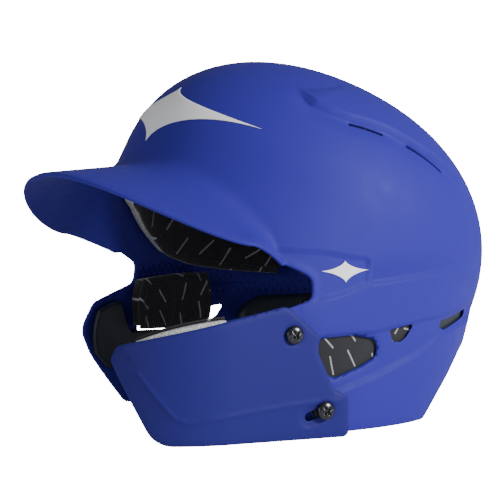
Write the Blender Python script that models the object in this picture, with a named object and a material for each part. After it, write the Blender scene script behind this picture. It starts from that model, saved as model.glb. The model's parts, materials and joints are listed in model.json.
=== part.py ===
"""Batting helmet for a right-handed batter: a visored shell with two ear flaps, a padded liner,
and a jaw guard on the left flap that tilts about its upper screw.

Metres, +Z up. The helmet faces -Y and the wearer's left is +X. Everything hangs on the empty
helmet_centre, which stands on the resting plane below the middle of the shell's dome.
"""
import math

import bmesh
import bpy
from mathutils import Matrix, Vector

# Where the dome's middle stands, so that the whole helmet is centred over the origin.
CENTRE_X = -0.0035
CENTRE_Y = 0.033

# Shell: a dome tipped nose up, with a skirt below its widest line.
HALF_WIDTH = 0.1056
FRONT_LENGTH = 0.1385
REAR_LENGTH = 0.1275
CROWN_HEIGHT = 0.1007
DOME_HEIGHT = 0.1143
NOSE_UP = math.radians(27.4)
PLAN_POWER = 1.98
CROWN_POWER = 2.23
SKIRT_DROP = 0.118
SKIRT_SIDE_IN = 0.004
SKIRT_REAR_IN = 0.027
SKIRT_FRONT_SQUARING = 0.25
SKIRT_REAR_SQUARING = 1.0
WALL = 0.003

# Visor, in plan from its tip round to where it runs into the shell.
VISOR_TIP_Y = -0.192
VISOR_TIP_HEIGHT = 0.1584
VISOR_WIDEST_X = 0.104
VISOR_WIDEST_Y = -0.117
VISOR_ARCH = 3.7
VISOR_ROOT_HEIGHT = 0.1625
VISOR_ROOT_FALL = 0.058
VISOR_ROOT_POWER = 3.2
VISOR_END_X = 0.091
VISOR_END_Y = -0.083
VISOR_END_HEIGHT = 0.1045
VISOR_HALF_TURN = math.radians(60)
VISOR_BLANK_END = 0.95

# Lower edge of the shell in side view (y, z, corner radius), from the brow round to the nape.
FLAP_FOOT = 0.0024
NAPE_HEIGHT = 0.0425
EDGE_OUTLINE = [
    (-0.100, 0.1105, 0.004),
    (-0.068, 0.0960, 0.007),
    (-0.069, 0.0815, 0.007),
    (-0.107, 0.0705, 0.008),
    (-0.117, 0.0540, 0.010),
    (-0.106, 0.0370, 0.010),
    (-0.075, FLAP_FOOT, 0.006),
    (0.027, FLAP_FOOT, 0.004),
    (0.041, 0.0170, 0.006),
    (0.070, NAPE_HEIGHT, 0.010),
]

# Openings in the side walls, seen from the side (y, z, corner radius).
EAR_HOLE = [
    (-0.066, 0.0590, 0.005),
    (-0.044, 0.0600, 0.008),
    (-0.023, 0.0560, 0.006),
    (-0.0225, 0.0460, 0.005),
    (-0.036, 0.0400, 0.006),
    (-0.055, 0.0345, 0.006),
    (-0.066, 0.0400, 0.005),
]
SIDE_VENT = [
    (-0.0135, 0.0615, 0.0015),
    (0.009, 0.0645, 0.0015),
    (0.002, 0.0560, 0.002),
    (-0.003, 0.0530, 0.002),
    (-0.010, 0.0535, 0.002),
]
REAR_VENT = [
    (0.035, 0.0640, 0.001),
    (0.072, 0.0690, 0.001),
    (0.0735, 0.0640, 0.002),
    (0.040, 0.0575, 0.002),
    (0.034, 0.0595, 0.001),
]
CROWN_VENTS = [((-0.029, 0.1883), (-0.0045, 0.1813)), ((0.012, 0.1750), (0.042, 0.1578))]
CROWN_VENT_WIDTH = 0.0026

# Jaw guard, in its own plane: forward and up from the pivot screw (f, z, corner radius).
PIVOT_Y = -0.088
PIVOT_HEIGHT = 0.0629
GUARD_TURN = math.radians(10)
GUARD_WALL = 0.003
GUARD_FLAT = 0.040
GUARD_BEND_RADIUS = 0.080
GUARD_OUTLINE = [
    (0.110, -0.0050, 0.006),
    (0.004, 0.0165, 0.007),
    (-0.0185, -0.0025, 0.0025),
    (-0.015, -0.0085, 0.0025),
    (-0.027, -0.0340, 0.005),
    (-0.037, -0.0385, 0.003),
    (-0.0385, -PIVOT_HEIGHT, 0.004),
    (0.0865, -PIVOT_HEIGHT, 0.018),
    (0.115, -0.0130, 0.004),
]
SLOT_SCREW_BACK = 0.021
SLOT_SCREW_DOWN = 0.0460
GUARD_TRAVEL = math.radians(12)

# Fasteners. Every gap between touching pieces is FIT_GAP unless it has its own name.
FIT_GAP = 0.0003
SCREW_RADIUS = 0.0024
HEAD_RADIUS = 0.0055
HEAD_HEIGHT = 0.0030
NUT_BARREL_RADIUS = 0.0036
NUT_FLANGE_RADIUS = 0.0060
NUT_FLANGE = 0.0014
NUT_LENGTH = 0.0062
BOSS_RADIUS = 0.0070
BOSS_PROUD = 0.0006
SPACER_RADIUS = 0.0060
SPACER_LENGTH = 0.0022
RUNNING_GAP = 0.0005

# Liner.
PAD_GAP = 0.0013
FOAM = 0.0095
COVER = 0.0016
LAYER_GAP = 0.0007
BAND_HEIGHT = 0.044
BAND_FOOT = [
    (0, 0.1655), (20, 0.1625), (32, 0.1530), (43, 0.1415), (52, 0.1335), (63, 0.1185),
    (74, 0.1030), (84, 0.0950), (95, 0.0895), (107, 0.0860), (127, 0.0805), (180, 0.0780)]
BROW_PAD_HALF = math.radians(40)
SIDE_PAD_MIDDLE = math.radians(80)
SIDE_PAD_HALF = math.radians(37)
REAR_PAD_HALF = math.radians(60)
LEFT_EAR_PAD = ((-0.0735, 0.0280), (0.0160, 0.0840))
RIGHT_EAR_PAD = ((-0.0735, 0.0525), (-0.0110, 0.0860))
LINER_DEPTH = 0.0035
FLAP_LINER_FRONT = -0.1095
FLAP_LINER_BACKS = {"left": -0.0760, "right": -0.0400}
FLAP_LINER_UNDER_PAD = 0.0500
FLAP_LINER_STEP_Y = (-0.0860, -0.0760)
FLAP_LINER_FOOT = 0.026
FLAP_LINER_TOP = 0.0715
FLAP_LINER_TURN_Y = -0.094
FLAP_LINER_FOOT_SLOPE = 0.85
FLAP_LINER_TOP_SLOPE = 0.25
NAPE_PAD_HALF = math.radians(74)
NAPE_PAD_MARGIN = 0.0015
NAPE_PAD_HEIGHT = 0.0255
CROWN_PADS = [
    ("crown_front_pad", -0.066, 0.024, 0.036),
    ("crown_centre_pad", -0.006, 0.030, 0.030),
    ("crown_rear_pad", 0.056, 0.026, 0.036)]
GUARD_FOAM = 0.008
GUARD_PAD_FORWARD = 0.066
GUARD_PAD_HALF_LENGTH = 0.026
GUARD_PAD_LEAN = 0.010
GUARD_PAD_TOP = 0.0203
GUARD_PAD_FALL = 0.203
GUARD_PAD_HALF_HEIGHT = 0.0265

# Emblems.
EMBLEM_GAP = 0.0005
EMBLEM_THICK = 0.0004
FRONT_EMBLEM = (0.058, 0.019)
SIDE_EMBLEM = (0.0155, 0.006)
SIDE_EMBLEM_PLACE = (-0.047, 0.0985)
FRONT_EMBLEM_HEIGHT = 0.195
EMBLEM_POWER = 0.72

ROYAL_BLUE = (0.035, 0.060, 0.35, 1.0)
NAVY = (0.012, 0.020, 0.10, 1.0)
BLACK = (0.015, 0.016, 0.020, 1.0)
FOAM_GREY = (0.33, 0.34, 0.36, 1.0)
DARK_STEEL = (0.10, 0.10, 0.11, 1.0)
WHITE = (0.85, 0.86, 0.88, 1.0)


def finish(name, colour, roughness, metallic=0.0):
    """A plain Principled material."""
    material = bpy.data.materials.new(name)
    material.use_nodes = True
    shader = material.node_tree.nodes["Principled BSDF"]
    shader.inputs["Base Color"].default_value = colour
    shader.inputs["Roughness"].default_value = roughness
    shader.inputs["Metallic"].default_value = metallic
    material.diffuse_color = colour
    return material


def add_piece(name, mesh_maker, material, parent):
    """Turn a filled bmesh into a named object under parent."""
    mesh_maker.normal_update()
    mesh = bpy.data.meshes.new(name)
    mesh_maker.to_mesh(mesh)
    mesh_maker.free()
    piece = bpy.data.objects.new(name, mesh)
    if material is not None:
        mesh.materials.append(material)
    piece.parent = parent
    bpy.context.scene.collection.objects.link(piece)
    return piece


def add_empty(name, place, turn_z=0.0, parent=None):
    empty = bpy.data.objects.new(name, None)
    empty.location = place
    empty.rotation_euler = (0.0, 0.0, turn_z)
    empty.parent = parent
    bpy.context.scene.collection.objects.link(empty)
    return empty


def cut(piece, cutter, operation="DIFFERENCE"):
    """Boolean the cutter out of a piece, or into it, and hide the cutter."""
    boolean = piece.modifiers.new(cutter.name, "BOOLEAN")
    boolean.object = cutter
    boolean.operation = operation
    boolean.solver = "EXACT"
    cutter.hide_render = True
    cutter.display_type = "WIRE"


# ---------------------------------------------------------------- the dome's surface


def signed_power(value, power):
    return math.copysign(abs(value) ** power, value)


def tip_back(x, y, z):
    """From the dome's own tipped frame to the helmet's frame."""
    return Vector((
        x,
        y * math.cos(NOSE_UP) + z * math.sin(NOSE_UP),
        DOME_HEIGHT - y * math.sin(NOSE_UP) + z * math.cos(NOSE_UP),
    ))


def skirt_sizes(share, behind):
    """Half width, length and plan power at a share of the skirt's drop."""
    if behind:
        length = REAR_LENGTH - SKIRT_REAR_IN * share ** 2
        power = PLAN_POWER + SKIRT_REAR_SQUARING * share
    else:
        length = FRONT_LENGTH
        power = PLAN_POWER + SKIRT_FRONT_SQUARING * share
    return HALF_WIDTH - SKIRT_SIDE_IN * share ** 1.5, length, power


def wall(turn, run):
    """Outer surface. turn is 0 at the left, -90 degrees in front and 90 behind.
    run is 0 at the crown, 1 at the dome's widest line and 2 at the skirt's end."""
    if run <= 1.0:
        rise = (1.0 - run) * math.pi / 2
        level = max(math.cos(rise), 0.0) ** (2 / CROWN_POWER)
        height = CROWN_HEIGHT * math.sin(rise) ** (2 / CROWN_POWER)
        width, length, power = skirt_sizes(0.0, math.sin(turn) > 0)
    else:
        level = 1.0
        height = -SKIRT_DROP * (run - 1.0)
        width, length, power = skirt_sizes(run - 1.0, math.sin(turn) > 0)
    across = 0.0 if abs(math.cos(turn)) < 1e-9 else signed_power(math.cos(turn), 2 / power)
    along = 0.0 if abs(math.sin(turn)) < 1e-9 else signed_power(math.sin(turn), 2 / power)
    return tip_back(width * level * across, length * level * along, height)


def wall_under(turn, run, depth):
    """A point at a depth below the outer surface, along its normal."""
    step = 0.002
    low_run = max(run, 0.02)
    ahead = wall(turn + step, low_run) - wall(turn - step, low_run)
    down = wall(turn, low_run + step) - wall(turn, low_run - step)
    normal = down.cross(ahead).normalized()
    return wall(turn, run) - normal * depth


def run_at_height(turn, height):
    """How far down the surface reaches a height above the resting plane."""
    low, high = 0.25, 2.0
    for _ in range(40):
        middle = (low + high) / 2
        if wall(turn, middle).z > height:
            low = middle
        else:
            high = middle
    return (low + high) / 2


def side_x(y, z):
    """Half width of the outer surface at a place in the side view."""
    above = z - DOME_HEIGHT
    along = y * math.cos(NOSE_UP) - above * math.sin(NOSE_UP)
    height = y * math.sin(NOSE_UP) + above * math.cos(NOSE_UP)
    share = max(-height / SKIRT_DROP, 0.0)
    width, length, power = skirt_sizes(share, along > 0)
    room = 1.0
    if height > 0:
        room = (1.0 - (height / CROWN_HEIGHT) ** CROWN_POWER) ** (power / CROWN_POWER)
    return width * max(room - abs(along / length) ** power, 1e-6) ** (1 / power)


def side_under(y, z, depth, side=1):
    """A point below the side wall's outer surface; side is 1 for left, -1 for right."""
    step = 0.0005
    slope_y = (side_x(y + step, z) - side_x(y - step, z)) / (2 * step)
    slope_z = (side_x(y, z + step) - side_x(y, z - step)) / (2 * step)
    normal = Vector((1.0, -slope_y, -slope_z)).normalized()
    point = Vector((side_x(y, z), y, z)) - normal * depth
    point.x *= side
    return point


def crown_under(x, y, depth):
    """A point below the crown, from its place in the dome's own tipped frame."""

    def height(px, py):
        length = REAR_LENGTH if py > 0 else FRONT_LENGTH
        plan = abs(px / HALF_WIDTH) ** PLAN_POWER + abs(py / length) ** PLAN_POWER
        return CROWN_HEIGHT * (1.0 - plan ** (CROWN_POWER / PLAN_POWER)) ** (1 / CROWN_POWER)

    step = 0.0005
    slope_x = (height(x + step, y) - height(x - step, y)) / (2 * step)
    slope_y = (height(x, y + step) - height(x, y - step)) / (2 * step)
    normal = Vector((-slope_x, -slope_y, 1.0)).normalized()
    point = Vector((x, y, height(x, y))) - normal * depth
    return tip_back(*point)


# ---------------------------------------------------------------- outlines and solids


def rounded(outline, steps=4):
    """An outline's points with each corner turned into an arc of its radius."""
    points = []
    count = len(outline)
    for i, (x, y, radius) in enumerate(outline):
        corner = Vector((x, y))
        before = (Vector(outline[i - 1][:2]) - corner)
        after = (Vector(outline[(i + 1) % count][:2]) - corner)
        half = before.angle(after) / 2
        reach = radius / math.tan(half)
        limit = 0.48 * min(before.length, after.length)
        reach = min(reach, limit)
        radius = reach * math.tan(half)
        middle = corner + (before.normalized() + after.normalized()).normalized() * (
            radius / math.sin(half))
        start = corner + before.normalized() * reach - middle
        end = corner + after.normalized() * reach - middle
        sweep = start.angle_signed(end)
        for k in range(steps + 1):
            turn = -sweep * k / steps
            arm = Vector((
                start.x * math.cos(turn) - start.y * math.sin(turn),
                start.x * math.sin(turn) + start.y * math.cos(turn)))
            points.append(middle + arm)
    return points


def loft(rows, closed_rows=False):
    """A skin over a grid of points; closed_rows joins each row's ends."""
    maker = bmesh.new()
    grid = [[maker.verts.new(point) for point in row] for row in rows]
    width = len(rows[0])
    for upper, lower in zip(grid, grid[1:]):
        for i in range(width if closed_rows else width - 1):
            j = (i + 1) % width
            maker.faces.new((upper[i], lower[i], lower[j], upper[j]))
    return maker, grid


def slab(outer_rows, inner_rows, closed_rows=False):
    """A closed solid between two grids of points that match one to one."""
    maker = bmesh.new()
    outer = [[maker.verts.new(point) for point in row] for row in outer_rows]
    inner = [[maker.verts.new(point) for point in row] for row in inner_rows]
    width = len(outer[0])
    for grid, flip in ((outer, False), (inner, True)):
        for upper, lower in zip(grid, grid[1:]):
            for i in range(width if closed_rows else width - 1):
                j = (i + 1) % width
                face = (upper[i], lower[i], lower[j], upper[j])
                maker.faces.new(face[::-1] if flip else face)
    rims = [(outer[0], inner[0]), (outer[-1][::-1], inner[-1][::-1])]
    if not closed_rows:
        rims.append(([row[0] for row in outer][::-1], [row[0] for row in inner][::-1]))
        rims.append(([row[-1] for row in outer], [row[-1] for row in inner]))
    for over, under in rims:
        last = len(over) if closed_rows else len(over) - 1
        for i in range(last):
            j = (i + 1) % len(over)
            maker.faces.new((over[i], over[j], under[j], under[i]))
    bmesh.ops.recalc_face_normals(maker, faces=maker.faces)
    return maker


def patch(place, depth_outer, depth_inner, columns, rows, roundness=0.45):
    """A padded patch: place(a, b, depth) maps a square from -1 to 1 onto the wall."""

    def grid(depth):
        lines = []
        for j in range(rows + 1):
            b = -1 + 2 * j / rows
            line = []
            for i in range(columns + 1):
                a = -1 + 2 * i / columns
                line.append(place(
                    a * math.sqrt(1 - roundness * b * b / 2),
                    b * math.sqrt(1 - roundness * a * a / 2), depth))
            lines.append(line)
        return lines

    return slab(grid(depth_outer), grid(depth_inner))


def prism(points, axis_from, axis_to, to_space):
    """A closed prism over an outline, between two distances along its axis."""
    maker = bmesh.new()
    ends = []
    for distance in (axis_from, axis_to):
        ends.append([maker.verts.new(to_space(distance, p)) for p in points])
    maker.faces.new(ends[0])
    maker.faces.new(ends[1][::-1])
    for i in range(len(points)):
        j = (i + 1) % len(points)
        maker.faces.new((ends[0][j], ends[0][i], ends[1][i], ends[1][j]))
    bmesh.ops.recalc_face_normals(maker, faces=maker.faces)
    return maker


def turned(profile, steps):
    """A solid of revolution about local X from (x, radius) points that start and end on it."""
    maker = bmesh.new()
    rings = []
    for x, radius in profile:
        if radius == 0:
            rings.append([maker.verts.new((x, 0, 0))])
            continue
        rings.append([maker.verts.new((
            x,
            radius * math.cos(2 * math.pi * k / steps),
            radius * math.sin(2 * math.pi * k / steps))) for k in range(steps)])
    for first, second in zip(rings, rings[1:]):
        for k in range(steps):
            m = (k + 1) % steps
            corners = [first[k % len(first)], first[m % len(first)],
                       second[m % len(second)], second[k % len(second)]]
            maker.faces.new(list(dict.fromkeys(corners)))
    bmesh.ops.recalc_face_normals(maker, faces=maker.faces)
    return maker


def tube(start, end, bore, radius, steps):
    """A plain ring along local X."""
    maker = bmesh.new()
    corners = [(start, bore), (start, radius), (end, radius), (end, bore)]
    rings = [[maker.verts.new((
        x,
        r * math.cos(2 * math.pi * k / steps),
        r * math.sin(2 * math.pi * k / steps))) for k in range(steps)] for x, r in corners]
    for n in range(4):
        for k in range(steps):
            m = (k + 1) % steps
            maker.faces.new((rings[n][k], rings[n][m], rings[(n + 1) % 4][m], rings[(n + 1) % 4][k]))
    bmesh.ops.recalc_face_normals(maker, faces=maker.faces)
    return maker


# ---------------------------------------------------------------- shell


def visor_root_height(x):
    """Height of the crease between dome and visor."""
    return VISOR_ROOT_HEIGHT - VISOR_ROOT_FALL * min(abs(x) / VISOR_END_X, 1.0) ** VISOR_ROOT_POWER


def visor_root(turn, depth):
    """The crease's point at a turn round the dome."""
    height = VISOR_ROOT_HEIGHT
    for _ in range(6):
        run = run_at_height(turn, height)
        height = visor_root_height(wall(turn, run).x)
    return wall_under(turn, run, depth)


def visor_edge(share):
    """The visor's edge, from its tip (0) to where it meets the shell (1)."""
    front = 0.74
    if share < front:
        t = share / front
        controls = [
            Vector((0, VISOR_TIP_Y)),
            Vector((0.66 * VISOR_WIDEST_X, VISOR_TIP_Y)),
            Vector((VISOR_WIDEST_X, VISOR_WIDEST_Y - 0.017)),
            Vector((VISOR_WIDEST_X, VISOR_WIDEST_Y)),
        ]
        s = 1 - t
        spot = (controls[0] * s ** 3 + controls[1] * 3 * s * s * t
                + controls[2] * 3 * s * t * t + controls[3] * t ** 3)
        return Vector((spot.x, spot.y, VISOR_TIP_HEIGHT - VISOR_ARCH * spot.x ** 2))
    t = (share - front) / (1 - front)
    widest_height = VISOR_TIP_HEIGHT - VISOR_ARCH * VISOR_WIDEST_X ** 2
    start = Vector((VISOR_WIDEST_X, VISOR_WIDEST_Y, widest_height))
    bend = Vector((VISOR_WIDEST_X, VISOR_WIDEST_Y + 0.010, widest_height - 0.0025))
    end = Vector((VISOR_END_X - 0.0015, VISOR_END_Y, VISOR_END_HEIGHT))
    return start * (1 - t) ** 2 + bend * 2 * t * (1 - t) + end * t * t


def make_visor(parent):
    """The visor as its own slab, which is then joined into the shell."""
    columns = 14
    spans = 4
    rows = []
    for j in range(spans + 1):
        row = []
        for i in range(-columns, columns + 1):
            share = VISOR_BLANK_END * abs(i) / columns
            root = visor_root(-math.pi / 2 + share * VISOR_HALF_TURN, WALL / 2)
            point = root.lerp(visor_edge(share), j / spans)
            row.append(Vector((math.copysign(point.x, i) if i else 0.0, point.y, point.z)))
        rows.append(row)
    lowered = []
    for j, row in enumerate(rows):
        ahead = rows[min(j + 1, spans)]
        behind = rows[max(j - 1, 0)]
        line = []
        for i, point in enumerate(row):
            across = row[min(i + 1, 2 * columns)] - row[max(i - 1, 0)]
            line.append(point - across.cross(behind[i] - ahead[i]).normalized() * WALL)
        lowered.append(line)
    return add_piece("visor_blank", slab(rows, lowered), None, parent)


def make_shell(parent, mount, material):
    columns = 30
    dome_rows = 9
    skirt_rows = 7
    skirt_end = 1.2
    runs = [k / dome_rows for k in range(dome_rows)]
    runs += [1 + skirt_end * k / skirt_rows for k in range(skirt_rows + 1)]
    runs[0] = 0.03
    turns = [-math.pi / 2 + math.pi * k / columns for k in range(columns + 1)]
    maker, grid = loft([[wall(turn, run) for turn in turns] for run in runs])
    crown = maker.verts.new(wall(0.0, 0.0))
    for left, right in zip(grid[0], grid[0][1:]):
        maker.faces.new((crown, left, right))
    bmesh.ops.recalc_face_normals(maker, faces=maker.faces)
    if sum(face.normal.dot(face.calc_center_median() - Vector((0, 0, DOME_HEIGHT)))
           for face in maker.faces) < 0:
        bmesh.ops.reverse_faces(maker, faces=maker.faces)
    shell = add_piece("shell", maker, material, parent)

    mirror = shell.modifiers.new("other_half", "MIRROR")
    mirror.merge_threshold = 0.0001
    thickness = shell.modifiers.new("wall", "SOLIDIFY")
    thickness.thickness = WALL
    thickness.offset = -1
    thickness.use_even_offset = True

    # Everything below the brow line and the lower edge comes off in one cut.
    brow = [Vector((-0.20, VISOR_ROOT_HEIGHT - WALL))]
    for k in range(9):
        point = visor_root(-math.pi / 2 + k / 8 * VISOR_HALF_TURN * 0.93, 0.0)
        brow.append(Vector((point.y, point.z - WALL)))
    edge = rounded([(brow[-1].x, brow[-1].y, 0.0005)] + EDGE_OUTLINE[1:]
                   + [(0.20, NAPE_HEIGHT, 0.001), (0.20, -0.06, 0.001), (-0.20, -0.06, 0.001)])
    outline = brow[:-1] + edge
    reach = 2 * HALF_WIDTH
    edge_cutter = add_piece("edge_cutter", prism(
        outline, -reach, reach, lambda d, p: (d, p[0], p[1])), None, parent)
    cut(shell, edge_cutter)

    visor = make_visor(parent)
    cut(shell, visor, "UNION")

    # Ear holes and side vents go through both walls, so one long prism cuts the pair.
    for name, shape in (("ear_hole", EAR_HOLE), ("side_vent", SIDE_VENT), ("rear_vent", REAR_VENT)):
        cut(shell, add_piece(name + "_cutter", prism(
            rounded(shape, 3), -reach, reach, lambda d, p: (d, p[0], p[1])), None, parent))
    for number, (front, back) in enumerate(CROWN_VENTS, 1):
        for side in (1, -1):
            start = side_under(*front, 0, side)
            end = side_under(*back, 0, side)
            middle_y = (front[0] + back[0]) / 2
            middle_z = (front[1] + back[1]) / 2
            out = side_under(middle_y, middle_z, -0.01, side) - side_under(
                middle_y, middle_z, 0.01, side)
            along = (end - start).normalized()
            up = out.cross(along).normalized()
            centre = (start + end) / 2
            half = (end - start).length / 2
            shape = [Vector((a * half, b * CROWN_VENT_WIDTH / 2)) for a, b in (
                (-1, -1), (1, -1), (1, 1), (-1, 1))]
            name = f"crown_vent_{number}_{'left' if side > 0 else 'right'}_cutter"
            box = prism(shape, -0.012, 0.012, lambda d, p: (
                centre + out.normalized() * d + along * p[0] + up * p[1]))
            cut(shell, add_piece(name, box, None, parent))

    # Two flat-faced bosses carry the guard's screws through the left flap.
    for name, y, z in SCREW_PLACES:
        blank = turned([(-BOSS_DEPTH, 0), (-BOSS_DEPTH, BOSS_RADIUS), (0, BOSS_RADIUS), (0, 0)], 24)
        blank.transform(Matrix.Translation((0, y, z)))
        cut(shell, add_piece(name + "_boss", blank, None, mount), "UNION")
        reach_in = BOSS_DEPTH + 0.002
        radius = NUT_BARREL_RADIUS + FIT_GAP
        drill = turned([(-reach_in, 0), (-reach_in, radius), (0.002, radius), (0.002, 0)], 20)
        drill.transform(Matrix.Translation((0, y, z)))
        cut(shell, add_piece(name + "_drill", drill, None, mount))
    return shell


# ---------------------------------------------------------------- jaw guard and its fasteners


def guard_point(forward, up, depth=0.0):
    """The guard's outer face in the hinge's frame, and points below it."""
    face = GUARD_INNER + GUARD_WALL
    if forward <= GUARD_FLAT:
        return Vector((face - depth, -forward, up))
    bend = (forward - GUARD_FLAT) / GUARD_BEND_RADIUS
    radius = GUARD_BEND_RADIUS - depth
    return Vector((
        face - GUARD_BEND_RADIUS + radius * math.cos(bend),
        -GUARD_FLAT - radius * math.sin(bend),
        up))


def make_guard(hinge, material):
    maker = bmesh.new()
    corners = [maker.verts.new((p.x, p.y, 0)) for p in rounded(GUARD_OUTLINE, 5)]
    maker.faces.new(corners)
    cuts = 11
    length = max(p[0] for p in GUARD_OUTLINE) - GUARD_FLAT
    for k in range(cuts):
        place = GUARD_FLAT + length * k / cuts
        bmesh.ops.bisect_plane(
            maker, geom=maker.verts[:] + maker.edges[:] + maker.faces[:],
            plane_co=(place, 0, 0), plane_no=(1, 0, 0), dist=1e-6)
    for vert in maker.verts:
        vert.co = guard_point(vert.co.x, vert.co.y)
    bmesh.ops.recalc_face_normals(maker, faces=maker.faces)
    maker.normal_update()
    if sum(face.normal.x * face.calc_area() for face in maker.faces) < 0:
        bmesh.ops.reverse_faces(maker, faces=maker.faces)
    guard = add_piece("jaw_guard", maker, material, hinge)
    thickness = guard.modifiers.new("wall", "SOLIDIFY")
    thickness.thickness = GUARD_WALL
    thickness.offset = -1
    thickness.use_even_offset = True

    through = GUARD_INNER + GUARD_WALL + 0.004
    radius = SCREW_RADIUS + RUNNING_GAP
    drill = turned([(-0.004, 0), (-0.004, radius), (through, radius), (through, 0)], 20)
    cut(guard, add_piece("guard_pivot_drill", drill, None, hinge))
    cut(guard, add_piece("guard_slot_cutter", prism(
        slot_outline(), -0.004, through, lambda d, p: (d, p[0], p[1])), None, hinge))
    return guard


def slot_outline():
    """The curved slot that the lower screw runs in, centred on the pivot."""
    half = SCREW_RADIUS + RUNNING_GAP
    arm = math.hypot(SLOT_SCREW_BACK, SLOT_SCREW_DOWN)
    rest = math.atan2(-SLOT_SCREW_DOWN, SLOT_SCREW_BACK)
    points = []
    sweep_steps = 6
    end_steps = 6
    for k in range(sweep_steps + 1):
        turn = rest - GUARD_TRAVEL * k / sweep_steps
        points.append(Vector(((arm + half) * math.cos(turn), (arm + half) * math.sin(turn))))
    last = rest - GUARD_TRAVEL
    middle = Vector((arm * math.cos(last), arm * math.sin(last)))
    for k in range(1, end_steps):
        turn = last - math.pi * k / end_steps
        points.append(middle + Vector((math.cos(turn), math.sin(turn))) * half)
    for k in range(sweep_steps + 1):
        turn = last + GUARD_TRAVEL * k / sweep_steps
        points.append(Vector(((arm - half) * math.cos(turn), (arm - half) * math.sin(turn))))
    middle = Vector((arm * math.cos(rest), arm * math.sin(rest)))
    for k in range(1, end_steps):
        turn = rest + math.pi - math.pi * k / end_steps
        points.append(middle + Vector((math.cos(turn), math.sin(turn))) * half)
    return points


def make_screw(name, y, z, mount, material):
    """A pan-head screw with a cross recess, its head just clear of the guard."""
    seat = GUARD_INNER + GUARD_WALL + FIT_GAP
    tip = -BOSS_DEPTH
    profile = [(tip, 0), (tip, SCREW_RADIUS), (seat, SCREW_RADIUS), (seat, HEAD_RADIUS)]
    for k in range(5):
        lift = math.radians(20 + 70 * k / 4)
        profile.append((seat + HEAD_HEIGHT * math.sin(lift), HEAD_RADIUS * math.cos(lift)))
    profile[-1] = (seat + HEAD_HEIGHT, 0)
    blank = turned(profile, 24)
    blank.transform(Matrix.Translation((0, y, z)))
    screw = add_piece(name, blank, material, mount)
    for arm in range(2):
        recess = bmesh.new()
        bmesh.ops.create_cube(recess, size=1.0)
        bmesh.ops.scale(recess, vec=(0.0032, 0.0013, 0.0056), verts=recess.verts)
        recess.transform(Matrix.Rotation(math.radians(35 + 90 * arm), 4, "X"))
        recess.transform(Matrix.Translation((seat + HEAD_HEIGHT, y, z)))
        cut(screw, add_piece(f"{name}_recess_{arm + 1}", recess, None, mount))
    return screw


def make_fasteners(mount, steel, rubber):
    for name, y, z in SCREW_PLACES:
        make_screw(name + "_screw", y, z, mount, steel)
        spacer = tube(FIT_GAP, FIT_GAP + SPACER_LENGTH, SCREW_RADIUS + FIT_GAP, SPACER_RADIUS, 24)
        spacer.transform(Matrix.Translation((0, y, z)))
        add_piece(name + "_spacer", spacer, rubber, mount)
        back = -BOSS_DEPTH - FIT_GAP
        bore = SCREW_RADIUS + FIT_GAP
        nut = tube(back - NUT_FLANGE, back, bore, NUT_FLANGE_RADIUS, 24)
        barrel = tube(back - NUT_FLANGE / 2, back + NUT_LENGTH, bore, NUT_BARREL_RADIUS, 24)
        nut.transform(Matrix.Translation((0, y, z)))
        barrel.transform(Matrix.Translation((0, y, z)))
        piece = add_piece(name + "_t_nut", nut, steel, mount)
        cut(piece, add_piece(name + "_t_nut_barrel", barrel, None, mount), "UNION")


def make_guard_pad(hinge, foam, fabric):
    """Foam and cover on the inside of the guard's wrapped front."""

    def place(a, b, depth):
        forward = GUARD_PAD_FORWARD + GUARD_PAD_HALF_LENGTH * a
        forward += GUARD_PAD_LEAN * b * (a + 1) / 2
        middle = GUARD_PAD_TOP - forward * GUARD_PAD_FALL - GUARD_PAD_HALF_HEIGHT
        return guard_point(forward, middle + GUARD_PAD_HALF_HEIGHT * b, depth)

    start = GUARD_WALL + FIT_GAP
    add_piece("jaw_pad_foam", patch(place, start, start + GUARD_FOAM, 8, 5, 0.3), foam, hinge)
    start += GUARD_FOAM + LAYER_GAP
    add_piece("jaw_pad_cover", patch(place, start, start + COVER, 8, 5, 0.3), fabric, hinge)


# ---------------------------------------------------------------- liner


def band_foot(turn):
    """Lower edge of the head band: high over the brow, falling to the nape."""
    away = math.degrees(abs(math.remainder(turn + math.pi / 2, 2 * math.pi)))
    for (start, low), (end, high) in zip(BAND_FOOT, BAND_FOOT[1:]):
        if away <= end:
            return low + (high - low) * (away - start) / (end - start)
    return BAND_FOOT[-1][1]


def make_band_pad(name, middle, half, columns, parent, foam, fabric):
    """One pad of the head band, between two turns round the dome."""

    def place(a, b, depth):
        turn = middle + half * a
        height = band_foot(turn) + BAND_HEIGHT * (b + 1) / 2
        return wall_under(turn, run_at_height(turn, height), depth)

    make_pad_pair(name, place, columns, 5, parent, foam, fabric)


def make_pad_pair(name, place, columns, rows, parent, foam, fabric, roundness=0.3):
    start = WALL + PAD_GAP
    add_piece(name + "_foam", patch(
        place, start, start + FOAM, columns, rows, roundness), foam, parent)
    start += FOAM + LAYER_GAP
    add_piece(name + "_cover", patch(
        place, start, start + COVER, columns, rows, roundness), fabric, parent)


def make_ear_pad(name, side, corners, parent, foam, fabric):
    """A block of padding over the ear, between two corners in the side view."""
    (low_y, low_z), (high_y, high_z) = corners

    def place(a, b, depth):
        y = low_y + (high_y - low_y) * (a + 1) / 2
        z = low_z + (high_z - low_z) * (b + 1) / 2
        return side_under(y, z, depth, side)

    make_pad_pair(name, place, 8, 6, parent, foam, fabric)


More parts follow.
